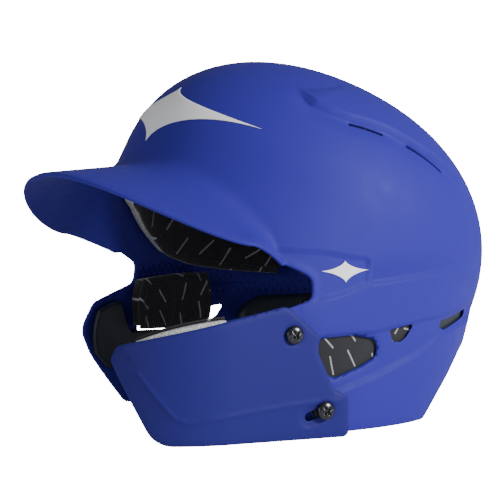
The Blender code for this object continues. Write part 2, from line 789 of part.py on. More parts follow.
def make_flap_liner(word, side, parent, material):
    """The smooth sheet that lines the front of an ear flap, and runs back below the ear pad."""
    back = FLAP_LINER_BACKS[word]
    step_start, step_end = FLAP_LINER_STEP_Y

    def place(a, b, depth):
        y = FLAP_LINER_FRONT + (back - FLAP_LINER_FRONT) * (a + 1) / 2
        ahead = max(FLAP_LINER_TURN_Y - y, 0)
        foot = FLAP_LINER_FOOT + ahead * FLAP_LINER_FOOT_SLOPE
        top = FLAP_LINER_TOP - ahead * FLAP_LINER_TOP_SLOPE
        if side < 0:
            share = min(max((y - step_start) / (step_end - step_start), 0.0), 1.0)
            top += (FLAP_LINER_UNDER_PAD - FLAP_LINER_TOP) * share
        return side_under(y, foot + (top - foot) * (b + 1) / 2, depth, side)

    start = WALL + PAD_GAP
    columns = 4 if side > 0 else 10
    liner = patch(place, start, start + LINER_DEPTH, columns, 6, 0.35)
    return add_piece(word + "_flap_liner", liner, material, parent)


def make_nape_pad(parent, material):
    def place(a, b, depth):
        turn = math.pi / 2 + NAPE_PAD_HALF * a
        height = NAPE_HEIGHT + NAPE_PAD_MARGIN + NAPE_PAD_HEIGHT * (b + 1) / 2
        return wall_under(turn, run_at_height(turn, height), depth)

    start = WALL + PAD_GAP
    add_piece("nape_pad", patch(place, start, start + FOAM, 24, 4, 0.3), material, parent)


def make_crown_pads(parent, foam, fabric):
    for name, middle, half_long, half_wide in CROWN_PADS:

        def place(a, b, depth):
            return crown_under(half_wide * a, middle + half_long * b, depth)

        make_pad_pair(name, place, 6, 5, parent, foam, fabric, 0.5)


# ---------------------------------------------------------------- emblems


def star_slab(place, half_wide, half_high, rings):
    """A thin four-pointed star on a surface: place(across, up, depth)."""
    steps = 24
    maker = bmesh.new()
    layers = []
    for depth in (-EMBLEM_GAP - EMBLEM_THICK, -EMBLEM_GAP):
        layer = [[maker.verts.new(place(0, 0, depth))]]
        for ring in range(1, rings + 1):
            line = []
            for k in range(steps):
                turn = 2 * math.pi * k / steps
                across = half_wide * signed_power(math.cos(turn), 2 / EMBLEM_POWER)
                up = half_high * signed_power(math.sin(turn), 2 / EMBLEM_POWER)
                blunt = 0.0006
                across += blunt * math.cos(turn)
                up += blunt * math.sin(turn)
                line.append(maker.verts.new(place(across * ring / rings, up * ring / rings, depth)))
            layer.append(line)
        layers.append(layer)
    for layer in layers:
        for k in range(steps):
            m = (k + 1) % steps
            maker.faces.new((layer[0][0], layer[1][k], layer[1][m]))
            for inner, outer in zip(layer[1:], layer[2:]):
                maker.faces.new((inner[k], outer[k], outer[m], inner[m]))
    for k in range(steps):
        m = (k + 1) % steps
        maker.faces.new((layers[0][-1][k], layers[1][-1][k], layers[1][-1][m], layers[0][-1][m]))
    bmesh.ops.recalc_face_normals(maker, faces=maker.faces)
    return maker


def make_emblems(parent, material):
    def front(across, up, depth):
        run = run_at_height(-math.pi / 2, FRONT_EMBLEM_HEIGHT)
        turn = across / HALF_WIDTH
        slope = math.pi / 2 * CROWN_HEIGHT
        return wall_under(-math.pi / 2 + turn, run - up / slope, depth)

    add_piece("front_emblem", star_slab(front, *FRONT_EMBLEM, 8), material, parent)
    for name, side in (("left_emblem", 1), ("right_emblem", -1)):

        def flank(across, up, depth):
            y, z = SIDE_EMBLEM_PLACE
            return side_under(y + across, z + up, depth, side)

        add_piece(name, star_slab(flank, *SIDE_EMBLEM, 3), material, parent)


# ---------------------------------------------------------------- assembly

# Where the guard's flat plane lies: just outside the flap's fullest point.
FLAP_NORMAL = Vector((math.cos(GUARD_TURN), -math.sin(GUARD_TURN), 0))
FLAP_REACH = max(
    FLAP_NORMAL.dot(Vector((side_x(y / 1000, z / 1000), y / 1000, z / 1000)))
    for y in range(-112, -48, 4) for z in range(4, 84, 4) if z > -0.85 * (y + 66))
PIVOT_SKIN = Vector((side_x(PIVOT_Y, PIVOT_HEIGHT), PIVOT_Y, PIVOT_HEIGHT))
PIVOT_PLACE = PIVOT_SKIN + FLAP_NORMAL * (
    FLAP_REACH + BOSS_PROUD - FLAP_NORMAL.dot(PIVOT_SKIN))
BOSS_DEPTH = (PIVOT_PLACE - PIVOT_SKIN).length + WALL + 0.0025
GUARD_INNER = SPACER_LENGTH + 2 * FIT_GAP
SCREW_PLACES = [("pivot", 0.0, 0.0), ("slot", SLOT_SCREW_BACK, -SLOT_SCREW_DOWN)]

for old in list(bpy.data.objects):
    bpy.data.objects.remove(old, do_unlink=True)

shell_plastic = finish("shell_plastic", ROYAL_BLUE, 0.42)
guard_plastic = finish("guard_plastic", ROYAL_BLUE, 0.42)
screw_steel = finish("screw_steel", DARK_STEEL, 0.3, 0.9)
spacer_rubber = finish("spacer_rubber", BLACK, 0.8)
pad_foam = finish("pad_foam", FOAM_GREY, 0.95)
pad_fabric = finish("pad_fabric", BLACK, 0.9)
liner_plastic = finish("liner_plastic", BLACK, 0.6)
emblem_white = finish("emblem_white", WHITE, 0.4)

helmet = add_empty("helmet_centre", (CENTRE_X, CENTRE_Y, 0))
guard_mount = add_empty("guard_mount", PIVOT_PLACE, -GUARD_TURN, helmet)
guard_hinge = add_empty("guard_hinge", PIVOT_PLACE, -GUARD_TURN, helmet)

make_shell(helmet, guard_mount, shell_plastic)
make_guard(guard_hinge, guard_plastic)
make_guard_pad(guard_hinge, pad_foam, pad_fabric)
make_fasteners(guard_mount, screw_steel, spacer_rubber)

make_band_pad("brow_pad", -math.pi / 2, BROW_PAD_HALF, 16, helmet, pad_foam, pad_fabric)
for word, side in (("left", 1), ("right", -1)):
    make_band_pad(word + "_side_pad", -math.pi / 2 + side * SIDE_PAD_MIDDLE, SIDE_PAD_HALF, 11,
                  helmet, pad_foam, pad_fabric)
make_band_pad("rear_pad", math.pi / 2, REAR_PAD_HALF, 16, helmet, pad_foam, pad_fabric)
make_nape_pad(helmet, liner_plastic)
make_crown_pads(helmet, pad_foam, pad_fabric)

make_ear_pad("left_ear_pad", 1, LEFT_EAR_PAD, helmet, pad_foam, pad_fabric)
make_ear_pad("right_ear_pad", -1, RIGHT_EAR_PAD, helmet, pad_foam, pad_fabric)
left_liner = make_flap_liner("left", 1, helmet, liner_plastic)
make_flap_liner("right", -1, helmet, liner_plastic)

# The left lining makes room for the upper screw's T-nut.
pocket_depth = BOSS_DEPTH + NUT_FLANGE + LINER_DEPTH
pocket_radius = BOSS_RADIUS + 0.0006
pocket = turned([(-pocket_depth, 0), (-pocket_depth, pocket_radius),
                 (0.002, pocket_radius), (0.002, 0)], 20)
cut(left_liner, add_piece("pivot_pocket", pocket, None, guard_mount))

make_emblems(helmet, emblem_white)
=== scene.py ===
import json
import math

import bmesh
import bpy
import numpy as np
from mathutils import Matrix, Vector, geometry, kdtree


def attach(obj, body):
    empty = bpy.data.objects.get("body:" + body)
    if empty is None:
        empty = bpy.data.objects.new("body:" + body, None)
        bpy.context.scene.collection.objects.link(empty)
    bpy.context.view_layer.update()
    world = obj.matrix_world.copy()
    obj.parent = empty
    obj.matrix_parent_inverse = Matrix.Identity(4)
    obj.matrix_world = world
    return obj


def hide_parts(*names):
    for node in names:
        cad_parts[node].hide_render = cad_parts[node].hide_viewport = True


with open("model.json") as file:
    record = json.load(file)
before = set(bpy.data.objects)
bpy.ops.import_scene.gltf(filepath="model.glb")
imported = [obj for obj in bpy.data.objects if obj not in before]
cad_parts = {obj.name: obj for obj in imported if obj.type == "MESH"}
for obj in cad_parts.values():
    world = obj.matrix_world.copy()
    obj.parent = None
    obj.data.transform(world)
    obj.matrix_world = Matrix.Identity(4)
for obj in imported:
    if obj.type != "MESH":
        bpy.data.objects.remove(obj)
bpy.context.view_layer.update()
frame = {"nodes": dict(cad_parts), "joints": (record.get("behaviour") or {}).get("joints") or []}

# Studio table: a pale floor, a white surround, one big soft light on the helmet's rear left,
# a weaker one in front, and the camera a little above the jaw guard.

AZIMUTH = math.radians(53.43)
ELEVATION = math.radians(2.9)
AIM = Vector((-0.0035, -0.0106, 0.1072))
DISTANCE = 1.30

eye_data = bpy.data.cameras.new("eye")
eye_data.lens = 145.8
eye_data.sensor_width = 36.0
eye_data.clip_start = 0.05
eye = bpy.data.objects.new("eye", eye_data)
bpy.context.scene.collection.objects.link(eye)
toward_eye = Vector((
    math.sin(AZIMUTH) * math.cos(ELEVATION),
    -math.cos(AZIMUTH) * math.cos(ELEVATION),
    math.sin(ELEVATION)))
eye.location = AIM + toward_eye * DISTANCE
eye.rotation_euler = (-toward_eye).to_track_quat("-Z", "Y").to_euler()
bpy.context.scene.camera = eye


def soft_light(name, azimuth, elevation, distance, size, watts, tint=(1.0, 1.0, 1.0)):
    """A square lamp that looks at the helmet's middle from an angle round it."""
    lamp = bpy.data.lights.new(name, "AREA")
    lamp.shape = "SQUARE"
    lamp.size = size
    lamp.energy = watts
    lamp.color = tint
    holder = bpy.data.objects.new(name, lamp)
    turn, lift = math.radians(azimuth), math.radians(elevation)
    away = Vector((math.sin(turn) * math.cos(lift), -math.cos(turn) * math.cos(lift), math.sin(lift)))
    middle = Vector((0.0, 0.0, 0.11))
    holder.location = middle + away * distance
    holder.rotation_euler = (-away).to_track_quat("-Z", "Y").to_euler()
    bpy.context.scene.collection.objects.link(holder)


soft_light("key_lamp", 116, 22, 1.5, 0.45, 28.0)
soft_light("front_lamp", 12, 6, 1.8, 1.0, 8.0)

surround = bpy.data.worlds.new("surround")
surround.use_nodes = True
nodes, links = surround.node_tree.nodes, surround.node_tree.links
nodes.clear()
seen_sky = nodes.new("ShaderNodeBackground")
seen_sky.inputs["Color"].default_value = (1.0, 1.0, 1.0, 1.0)
seen_sky.inputs["Strength"].default_value = 19.0
lit_sky = nodes.new("ShaderNodeBackground")
lit_sky.inputs["Color"].default_value = (0.95, 0.97, 1.0, 1.0)
lit_sky.inputs["Strength"].default_value = 0.27
ray = nodes.new("ShaderNodeLightPath")
choose_sky = nodes.new("ShaderNodeMixShader")
sky_out = nodes.new("ShaderNodeOutputWorld")
links.new(ray.outputs["Is Camera Ray"], choose_sky.inputs["Fac"])
links.new(lit_sky.outputs["Background"], choose_sky.inputs[1])
links.new(seen_sky.outputs["Background"], choose_sky.inputs[2])
links.new(choose_sky.outputs["Shader"], sky_out.inputs["Surface"])
bpy.context.scene.world = surround

floor_mesh = bpy.data.meshes.new("floor")
floor_mesh.from_pydata([(-4, -4, 0), (4, -4, 0), (4, 4, 0), (-4, 4, 0)], [], [(0, 1, 2, 3)])
floor = bpy.data.objects.new("floor", floor_mesh)
floor.location.z = -0.0008
bpy.context.scene.collection.objects.link(floor)
floor_paint = bpy.data.materials.new("floor_paint")
floor_paint.use_nodes = True
floor_shader = floor_paint.node_tree.nodes["Principled BSDF"]
floor_shader.inputs["Base Color"].default_value = (0.93, 0.93, 0.93, 1.0)
floor_shader.inputs["Roughness"].default_value = 0.85
floor_shader.inputs["Specular IOR Level"].default_value = 0.1
floor_shader.inputs["Emission Color"].default_value = (1.0, 1.0, 1.0, 1.0)
floor_ray = floor_paint.node_tree.nodes.new("ShaderNodeLightPath")
floor_glow = floor_paint.node_tree.nodes.new("ShaderNodeMath")
floor_glow.operation = "MULTIPLY"
floor_glow.inputs[1].default_value = 18.0
floor_paint.node_tree.links.new(floor_ray.outputs["Is Camera Ray"], floor_glow.inputs[0])
floor_paint.node_tree.links.new(floor_glow.outputs["Value"], floor_shader.inputs["Emission Strength"])
floor_mesh.materials.append(floor_paint)

# Shell: one injection-moulded ABS piece, 3 mm thick, in satin royal blue. A round dome tipped nose
# up carries a visor and two ear flaps; ribs, vents and a sunk air channel are moulded into it.

SHELL_X = -0.0035
SHELL_Y = 0.033
HALF_WIDTH = 0.1056
FRONT_LENGTH = 0.1385
REAR_LENGTH = 0.1275
CROWN_HEIGHT = 0.1007
DOME_HEIGHT = 0.1143
NOSE_UP = math.radians(27.4)
PLAN_POWER = 1.98
CROWN_POWER = 2.23
SKIRT_DROP = 0.118
WALL = 0.003
VISOR_HALF = math.radians(59.5)
VISOR_FILLET = 0.075
NAPE_HEIGHT = 0.0425
OUTSIDE_GRAIN = 0.0021
INSIDE_GRAIN = 0.0034
SKIRT_SIDE_IN = 0.004
SKIRT_REAR_IN = 0.027
SKIRT_FRONT_SQUARING = 0.25
SKIRT_REAR_SQUARING = 1.0
BROW_HEIGHT = 0.1625
BROW_FALL = 0.058
BROW_HALF_WIDTH = 0.091
BROW_POWER = 3.2
VISOR_TIP = (0.0, -0.192)
VISOR_WIDEST = (0.104, -0.117)
VISOR_TIP_HEIGHT = 0.1584
VISOR_ARCH = 3.7
VISOR_FRONT_SHARE = 0.74
FLAP_FOOT = 0.0024


def dome(angle, run):
    """Outer skin. angle goes round from the left ear (0) by the back (90 degrees); run is 0 at
    the crown, 1 at the widest line and 2 at the skirt's end."""
    angle, run = np.broadcast_arrays(np.asarray(angle, float), np.asarray(run, float))
    rise = np.clip(1 - run, 0, 1) * math.pi / 2
    level = np.where(run < 1, np.maximum(np.cos(rise), 0) ** (2 / CROWN_POWER), 1.0)
    share = np.clip(run - 1, 0, None)
    height = np.where(run < 1, CROWN_HEIGHT * np.sin(rise) ** (2 / CROWN_POWER), -SKIRT_DROP * share)
    behind = np.sin(angle) > 0
    width = HALF_WIDTH - SKIRT_SIDE_IN * share ** 1.5
    length = np.where(behind, REAR_LENGTH - SKIRT_REAR_IN * share ** 2, FRONT_LENGTH)
    power = PLAN_POWER + share * np.where(behind, SKIRT_REAR_SQUARING, SKIRT_FRONT_SQUARING)
    across, along = np.cos(angle), np.sin(angle)
    reach = level * (np.abs(across) ** power + np.abs(along) ** power) ** (-1 / power)
    along = length * reach * along
    return np.stack([
        width * reach * across,
        along * math.cos(NOSE_UP) + height * math.sin(NOSE_UP),
        DOME_HEIGHT - along * math.sin(NOSE_UP) + height * math.cos(NOSE_UP)], -1)


def run_down_to(angle, height):
    """How far down from the crown the skin reaches a height above the floor."""
    angle, height = np.broadcast_arrays(np.asarray(angle, float), np.asarray(height, float))
    low, high = np.full(angle.shape, 0.25), np.full(angle.shape, 2.3)
    for _ in range(30):
        middle = (low + high) / 2
        over = dome(angle, middle)[..., 2] > height
        low, high = np.where(over, middle, low), np.where(over, high, middle)
    return (low + high) / 2


def visor_root(angle):
    """Run at which the visor leaves the dome, lower towards the temples."""
    height = np.full(np.shape(angle), BROW_HEIGHT)
    for _ in range(6):
        run = run_down_to(angle, height)
        aside = np.minimum(np.abs(dome(angle, run)[..., 0]) / BROW_HALF_WIDTH, 1)
        height = BROW_HEIGHT - BROW_FALL * aside ** BROW_POWER
    return run


def visor_rim(share):
    """The visor's free edge on the left, from its tip (0) to the temple (1)."""
    share = np.asarray(share, float)[:, None]
    t = np.clip(share / VISOR_FRONT_SHARE, 0, 1)
    plan = ((1 - t) ** 3 * [VISOR_TIP] + 3 * (1 - t) ** 2 * t * [[0.0686, VISOR_TIP[1]]]
            + 3 * (1 - t) * t ** 2 * [[VISOR_WIDEST[0], -0.134]] + t ** 3 * [VISOR_WIDEST])
    fore = np.column_stack([plan, VISOR_TIP_HEIGHT - VISOR_ARCH * plan[:, 0] ** 2])
    t = np.clip((share - VISOR_FRONT_SHARE) / (1 - VISOR_FRONT_SHARE), 0, 1)
    last = -math.pi / 2 + VISOR_HALF
    temple = dome(last, visor_root(np.array(last)))
    aft = ((1 - t) ** 2 * [[0.104, -0.117, 0.1184]] + 2 * t * (1 - t) * [[0.104, -0.107, 0.1159]]
           + t ** 2 * temple[None, :])
    return np.where(share < VISOR_FRONT_SHARE, fore, aft)


VISOR_SHARES = np.linspace(0, 1, 241)
VISOR_ROOTS = visor_root(-math.pi / 2 + VISOR_SHARES * VISOR_HALF)
VISOR_RIM = visor_rim(VISOR_SHARES)
VISOR_REACH = np.linalg.norm(
    VISOR_RIM - dome(-math.pi / 2 + VISOR_SHARES * VISOR_HALF, VISOR_ROOTS), axis=1) / SKIRT_DROP


def skin(spots):
    """Outer skin with its visor, from points on a flat map whose middle is the crown."""
    spots = np.asarray(spots, float)
    angle, run = np.arctan2(spots[:, 1], spots[:, 0]), np.hypot(spots[:, 0], spots[:, 1])
    points = dome(angle, run)
    off_nose = np.abs((angle + math.pi / 2 + math.pi) % (2 * math.pi) - math.pi)
    share = off_nose / VISOR_HALF
    root = np.interp(share, VISOR_SHARES, VISOR_ROOTS)
    reach = np.maximum(np.interp(share, VISOR_SHARES, VISOR_REACH), 1e-5)
    blend = np.minimum(0.45 * reach, VISOR_FILLET)
    over = run - root
    front = (share < 1) & (over > -blend) & (over < 1.1 * reach + 0.012)
    if front.any():
        a, r, b, o, w = angle[front], root[front], blend[front, None], over[front, None], reach[front, None]
        rim = np.stack([np.interp(share[front], VISOR_SHARES, VISOR_RIM[:, k]) for k in range(3)], -1)
        rim[:, 0] *= np.sign(np.cos(a))
        base = dome(a, r)
        before = dome(a, r - blend[front])
        beyond = base + (rim - base) * b / w
        t = (o + b) / (2 * b)
        bent = (1 - t) ** 2 * before + 2 * t * (1 - t) * base + t ** 2 * beyond
        points[front] = np.where(o > b, base + (rim - base) * o / w, bent)
    return points


def skin_normals(spots):
    step = 0.004
    spots = np.asarray(spots, float)
    ahead = skin(spots + [step, 0]) - skin(spots - [step, 0])
    aside = skin(spots + [0, step]) - skin(spots - [0, step])
    normal = np.cross(ahead, aside)
    return normal / np.maximum(np.linalg.norm(normal, axis=1), 1e-12)[:, None]


def from_side(points, side=1):
    """Spots on the flat map for points (y, z) seen from the side."""
    y, z = np.asarray(points, float).T
    above = z - DOME_HEIGHT
    along = y * math.cos(NOSE_UP) - above * math.sin(NOSE_UP)
    height = y * math.sin(NOSE_UP) + above * math.cos(NOSE_UP)
    share = np.clip(-height / SKIRT_DROP, 0, None)
    behind = along > 0
    length = np.where(behind, REAR_LENGTH - SKIRT_REAR_IN * share ** 2, FRONT_LENGTH)
    power = PLAN_POWER + share * np.where(behind, SKIRT_REAR_SQUARING, SKIRT_FRONT_SQUARING)
    lift = np.clip(height / CROWN_HEIGHT, 0, 1)
    level = (1 - lift ** CROWN_POWER) ** (1 / CROWN_POWER)
    v = along / length / level
    u = np.clip(1 - np.abs(v) ** power, 1e-9, None) ** (1 / power)
    run = np.where(height > 0, 1 - np.arcsin(lift ** (CROWN_POWER / 2)) / (math.pi / 2), 1 + share)
    angle = np.arctan2(v, u)
    return np.column_stack([side * run * np.cos(angle), run * np.sin(angle)])


def rounded(outline, steps=5):
    """An outline (x, y, radius) with each corner turned into an arc."""
    points = []
    for i, (x, y, radius) in enumerate(outline):
        corner = Vector((x, y))
        before = Vector(outline[i - 1][:2]) - corner
        after = Vector(outline[(i + 1) % len(outline)][:2]) - corner
        half = before.angle(after) / 2
        reach = min(radius / math.tan(half), 0.48 * min(before.length, after.length))
        radius = reach * math.tan(half)
        middle = corner + (before.normalized() + after.normalized()).normalized() * (
            radius / math.sin(half))
        start = corner + before.normalized() * reach - middle
        sweep = start.angle_signed(corner + after.normalized() * reach - middle)
        for k in range(steps + 1):
            points.append(middle + Matrix.Rotation(-sweep * k / steps, 2) @ start)
    return np.array(points)


def evenly(line, spacing, closed=False):
    """Points a fixed distance apart along a line in any number of dimensions."""
    line = np.asarray(line, float)
    if closed:
        line = np.vstack([line, line[:1]])
    gone = np.concatenate([[0], np.cumsum(np.linalg.norm(np.diff(line, axis=0), axis=1))])
    count = max(int(round(gone[-1] / spacing)), 3)
    marks = np.linspace(0, gone[-1], count + 1)
    spaced = np.column_stack([np.interp(marks, gone, line[:, k]) for k in range(line.shape[1])])
    return spaced[:-1] if closed else spaced


def surface_loop(spots, spacing):
    """A closed loop of map spots respaced by its real length on the skin."""
    joined = np.vstack([spots, spots[:1]])
    gone = np.concatenate([[0], np.cumsum(np.linalg.norm(np.diff(skin(joined), axis=0), axis=1))])
    marks = np.linspace(0, gone[-1], int(gone[-1] / spacing) + 1)[:-1]
    return np.column_stack([np.interp(marks, gone, joined[:, k]) for k in range(2)])


# Free edge: visor rim, then down the front of the flap, along its foot and up to the nape.
rim_angles = -math.pi / 2 + VISOR_SHARES * VISOR_HALF
rim_runs = VISOR_ROOTS + VISOR_REACH
half_edge = [np.column_stack([rim_runs * np.cos(rim_angles), rim_runs * np.sin(rim_angles)])]
temple = VISOR_RIM[-1]
flap_line = rounded([
    (temple[1], temple[2], 0.001),
    (-0.068, 0.0960, 0.007),
    (-0.069, 0.0815, 0.007),
    (-0.107, 0.0705, 0.008),
    (-0.117, 0.0540, 0.010),
    (-0.106, 0.0370, 0.010),
    (-0.075, FLAP_FOOT, 0.006),
    (0.027, FLAP_FOOT, 0.004),
    (0.041, 0.0170, 0.006),
    (0.070, NAPE_HEIGHT, 0.010),
    (0.200, NAPE_HEIGHT, 0.001),
    (0.200, 0.3, 0.001)])
flap_line = evenly(flap_line[6:6 * 10], 0.0015)
half_edge.append(from_side(flap_line))
nape_start = math.atan2(half_edge[-1][-1][1], half_edge[-1][-1][0])
nape_angles = np.linspace(nape_start, math.pi / 2, 60)[1:]
nape_runs = run_down_to(nape_angles, np.full(59, NAPE_HEIGHT))
half_edge.append(np.column_stack([nape_runs * np.cos(nape_angles), nape_runs * np.sin(nape_angles)]))
half_edge = np.vstack(half_edge)
free_edge = np.vstack([half_edge, half_edge[::-1][1:-1] * [-1, 1]])

# Openings: ear holes and two side vents on each side, and two slots under each crown rib.
ear_hole = [(-0.066, 0.0590, 0.005), (-0.044, 0.0600, 0.008), (-0.023, 0.0560, 0.006),
            (-0.0225, 0.0460, 0.005), (-0.036, 0.0400, 0.006), (-0.055, 0.0345, 0.006),
            (-0.066, 0.0400, 0.005)]
side_vent = [(-0.0135, 0.0615, 0.0015), (0.009, 0.0645, 0.0015), (0.002, 0.0560, 0.002),
             (-0.003, 0.0530, 0.002), (-0.010, 0.0535, 0.002)]
rear_vent = [(0.035, 0.0640, 0.001), (0.072, 0.0690, 0.001), (0.0735, 0.0640, 0.002),
             (0.040, 0.0575, 0.002), (0.034, 0.0595, 0.001)]
crown_slots = [((-0.029, 0.1883), (-0.0045, 0.1813)), ((0.012, 0.1750), (0.042, 0.1578))]
holes = []
for shape in (ear_hole, side_vent, rear_vent):
    holes.append(from_side(evenly(rounded(shape), 0.0008, closed=True)))
for front, back in crown_slots:
    ends = from_side([front, back])
    middle = skin(ends.mean(0)[None])[0]
    out = skin_normals(ends.mean(0)[None])[0]
    tips = skin(ends)
    forward = (tips[1] - tips[0]) / np.linalg.norm(tips[1] - tips[0])
    up = np.cross(out, forward)
    half = np.linalg.norm(tips[1] - tips[0]) / 2
    corners = rounded([(-half, -0.0013, 0.0012), (half, -0.0013, 0.0012),
                       (half, 0.0013, 0.0012), (-half, 0.0013, 0.0012)], 3)
    ring = tips.mean(0) + corners[:, :1] * forward + corners[:, 1:] * up
    holes.append(from_side(ring[:, 1:]))
holes = [surface_loop(hole, 0.0013) for hole in holes]
holes += [hole * [-1, 1] for hole in holes]


def counter_clockwise(loop):
    x, y = loop.T
    area = np.sum(x * np.roll(y, -1) - np.roll(x, -1) * y)
    return loop if area > 0 else loop[::-1]


loops = [counter_clockwise(surface_loop(free_edge, 0.0017))]
loops += [counter_clockwise(hole) for hole in holes]


def inside(points, loop):
    """Which points lie within a closed loop, by counting crossings."""
    result = np.zeros(len(points), bool)
    ends = np.roll(loop, -1, 0)
    low, high = loop.min(0), loop.max(0)
    near = np.where(((points >= low) & (points <= high)).all(1))[0]
    for part in np.array_split(near, max(len(near) * len(loop) // 4000000, 1)):
        px, py = points[part, 0][:, None], points[part, 1][:, None]
        spans = (loop[:, 1] > py) != (ends[:, 1] > py)
        slope = (ends[:, 0] - loop[:, 0]) / np.where(ends[:, 1] == loop[:, 1], 1e-12, ends[:, 1] - loop[:, 1])
        result[part] = (spans & (px < loop[:, 0] + slope * (py - loop[:, 1]))).sum(1) % 2 == 1
    return result


class MouldLine:
    """A crease moulded into both sides of the shell, from points (y, z) seen from the side."""

    def __init__(self, points, rows=(-0.0024, -0.0008, 0.0008, 0.0024)):
        spots = evenly(np.array(points) / 1000, 0.004)
        self.points = skin(from_side(spots))
        ahead = np.gradient(self.points, axis=0)
        ahead /= np.linalg.norm(ahead, axis=1)[:, None]
        self.up = np.cross(skin_normals(from_side(spots)), ahead)
        self.rows = rows

    def measure(self, points):
        """Signed distance above the line, and the share of the line gone by."""
        folded = np.array(points) * 1.0
        folded[:, 0] = np.abs(folded[:, 0])
        best = np.full(len(folded), 9.0)
        gone = np.zeros(len(folded))
        sign = np.ones(len(folded))
        last = len(self.points) - 1
        for k in range(last):
            a, b = self.points[k], self.points[k + 1]
            t = np.clip((folded - a) @ (b - a) / ((b - a) @ (b - a)), 0, 1)
            off = folded - (a + t[:, None] * (b - a))
            far = np.linalg.norm(off, axis=1)
            closer = far < best
            best = np.where(closer, far, best)
            gone = np.where(closer, (k + t) / last, gone)
            sign = np.where(closer, np.sign(off @ (self.up[k] + self.up[k + 1])), sign)
        return best * np.where(sign == 0, 1, sign), gone


def ease(value, start, end):
    t = np.clip((value - start) / (end - start), 0, 1)
    return t * t * (3 - 2 * t)


crown_rib = MouldLine([(-47, 213), (-50, 208), (-46.5, 199), (-39, 195), (-28, 190.7), (-15, 187.6),
                       (-2, 183.6), (14, 176), (30, 168.4), (44, 160), (59, 148), (74, 133)])
crown_fold = MouldLine([(-49, 219), (-30, 218.6), (-12, 215), (8, 208), (30, 196), (52, 180), (76, 150)])
panel_top = MouldLine([(-84, 112), (-59, 110), (-43, 107), (-31, 105.5)])
panel_foot = MouldLine([(-77, 77), (-66, 82), (-52, 84.5), (-32, 90.5)])
panel_end = MouldLine([(-31.5, 89), (-31, 107)])
ledge = MouldLine([(-32, 90.5), (-5, 92.6), (21, 95), (42, 97), (62, 98.8)])
duct_top = MouldLine([(-72, 58.5), (-65, 59.5), (-27, 60.8), (10, 65.4), (40, 68), (69, 71)])
duct_foot = MouldLine([(-62, 23), (-48, 27.7), (-28.5, 32.8), (-8, 39.4), (13, 45.8), (26, 51.5),
                       (34, 56), (44, 57.2), (74, 62)])
mould_lines = [crown_rib, panel_top, panel_foot, panel_end, ledge, duct_top, duct_foot]

edge_tree = kdtree.KDTree(len(loops[0]))
for k, place in enumerate(skin(loops[0])):
    edge_tree.insert(place, k)
edge_tree.balance()
ear_loop = skin(holes[0])
ear_tree = kdtree.KDTree(len(ear_loop))
for k, place in enumerate(ear_loop):
    ear_tree.insert(place, k)
ear_tree.balance()


RIB_HEIGHT = 0.0034
RIB_DIP = 0.0014
PANEL_DEPTH = 0.0015
LEDGE_DEPTH = 0.0024
CHANNEL_DEPTH = 0.0021
EAR_RIM_DEPTH = 0.0011
EAR_RIM_WIDTH = 0.0034


def moulding(points):
    """How far the skin stands proud of the plain dome, in metres."""
    y, z = points[:, 1], points[:, 2]
    rise = np.zeros(len(points))
    up, gone = crown_rib.measure(points)
    fold_up, _ = crown_fold.measure(points)
    strength = ease(gone, 0.02, 0.10) * (1 - ease(gone, 0.72, 0.98))
    slope = np.where((up > 0) & (fold_up < 0), -fold_up / np.maximum(up - fold_up, 1e-6), 0.0)
    plateau = np.where(fold_up < 0, RIB_HEIGHT * slope, 0.0)
    rise += strength * np.where(up > 0, plateau * ease(up, -0.0012, 0.0010), 0.0)
    rise += strength * np.where(up <= 0, RIB_HEIGHT * ease(up, -0.0012, 0.0010), 0.0)
    rise -= strength * RIB_DIP * ease(up, -0.014, -0.0035) * (1 - ease(up, -0.0012, 0.0))

    top, _ = panel_top.measure(points)
    foot, _ = panel_foot.measure(points)
    end, _ = panel_end.measure(points)
    panel = (1 - ease(top, -0.0008, 0.0006)) * ease(foot, -0.0006, 0.0010) * ease(end, -0.001, 0.0008)
    panel *= (y < -0.029) & (y > -0.12) & (z > 0.07) & (z < 0.118)
    rise -= PANEL_DEPTH * panel

    up, gone = ledge.measure(points)
    dip = (1 - ease(up, 0.0, 0.016)) * ease(up, -0.0009, 0.0007)
    along = ease(gone, 0.0, 0.06) * (1 - ease(gone, 0.55, 0.98)) * (y > -0.0335)
    rise -= LEDGE_DEPTH * dip * along

    low, gone = duct_top.measure(points)
    high, _ = duct_foot.measure(points)
    duct = (1 - ease(low, -0.0008, 0.0006)) * ease(high, -0.0010, 0.0014)
    duct *= ease(y, -0.074, -0.066) * (1 - ease(y, 0.074, 0.084))
    duct *= (z > 0.018) & (z < 0.078)
    rise -= CHANNEL_DEPTH * duct

    near_sides = np.where((np.abs(y + 0.045) < 0.03) & (z > 0.025) & (z < 0.07))[0]
    for k in near_sides:
        gap = ear_tree.find((abs(points[k][0]), y[k], z[k]))[2]
        rise[k] -= EAR_RIM_DEPTH * max(1 - gap / EAR_RIM_WIDTH, 0.0)
    return rise


def ring_spots(grain):
    """Spots about a grain apart over the whole map, in rings round the crown."""
    spots = [np.zeros((1, 2))]
    run = 0.0
    for number in range(1000):
        run += grain / (0.185 if run < 1 else SKIRT_DROP)
        if run > 2.6:
            break
        angles = np.linspace(-math.pi, math.pi, 721)
        ring = np.column_stack([run * np.cos(angles), run * np.sin(angles)])
        gone = np.concatenate([[0], np.cumsum(np.linalg.norm(np.diff(skin(ring), axis=0), axis=1))])
        count = max(int(round(gone[-1] / grain / 2)) * 2, 6)
        marks = (np.arange(count) + 0.5 * (number % 2)) * gone[-1] / count
        turned = np.interp(marks, gone, angles)
        spots.append(np.column_stack([run * np.cos(turned), run * np.sin(turned)]))
    return np.vstack(spots)


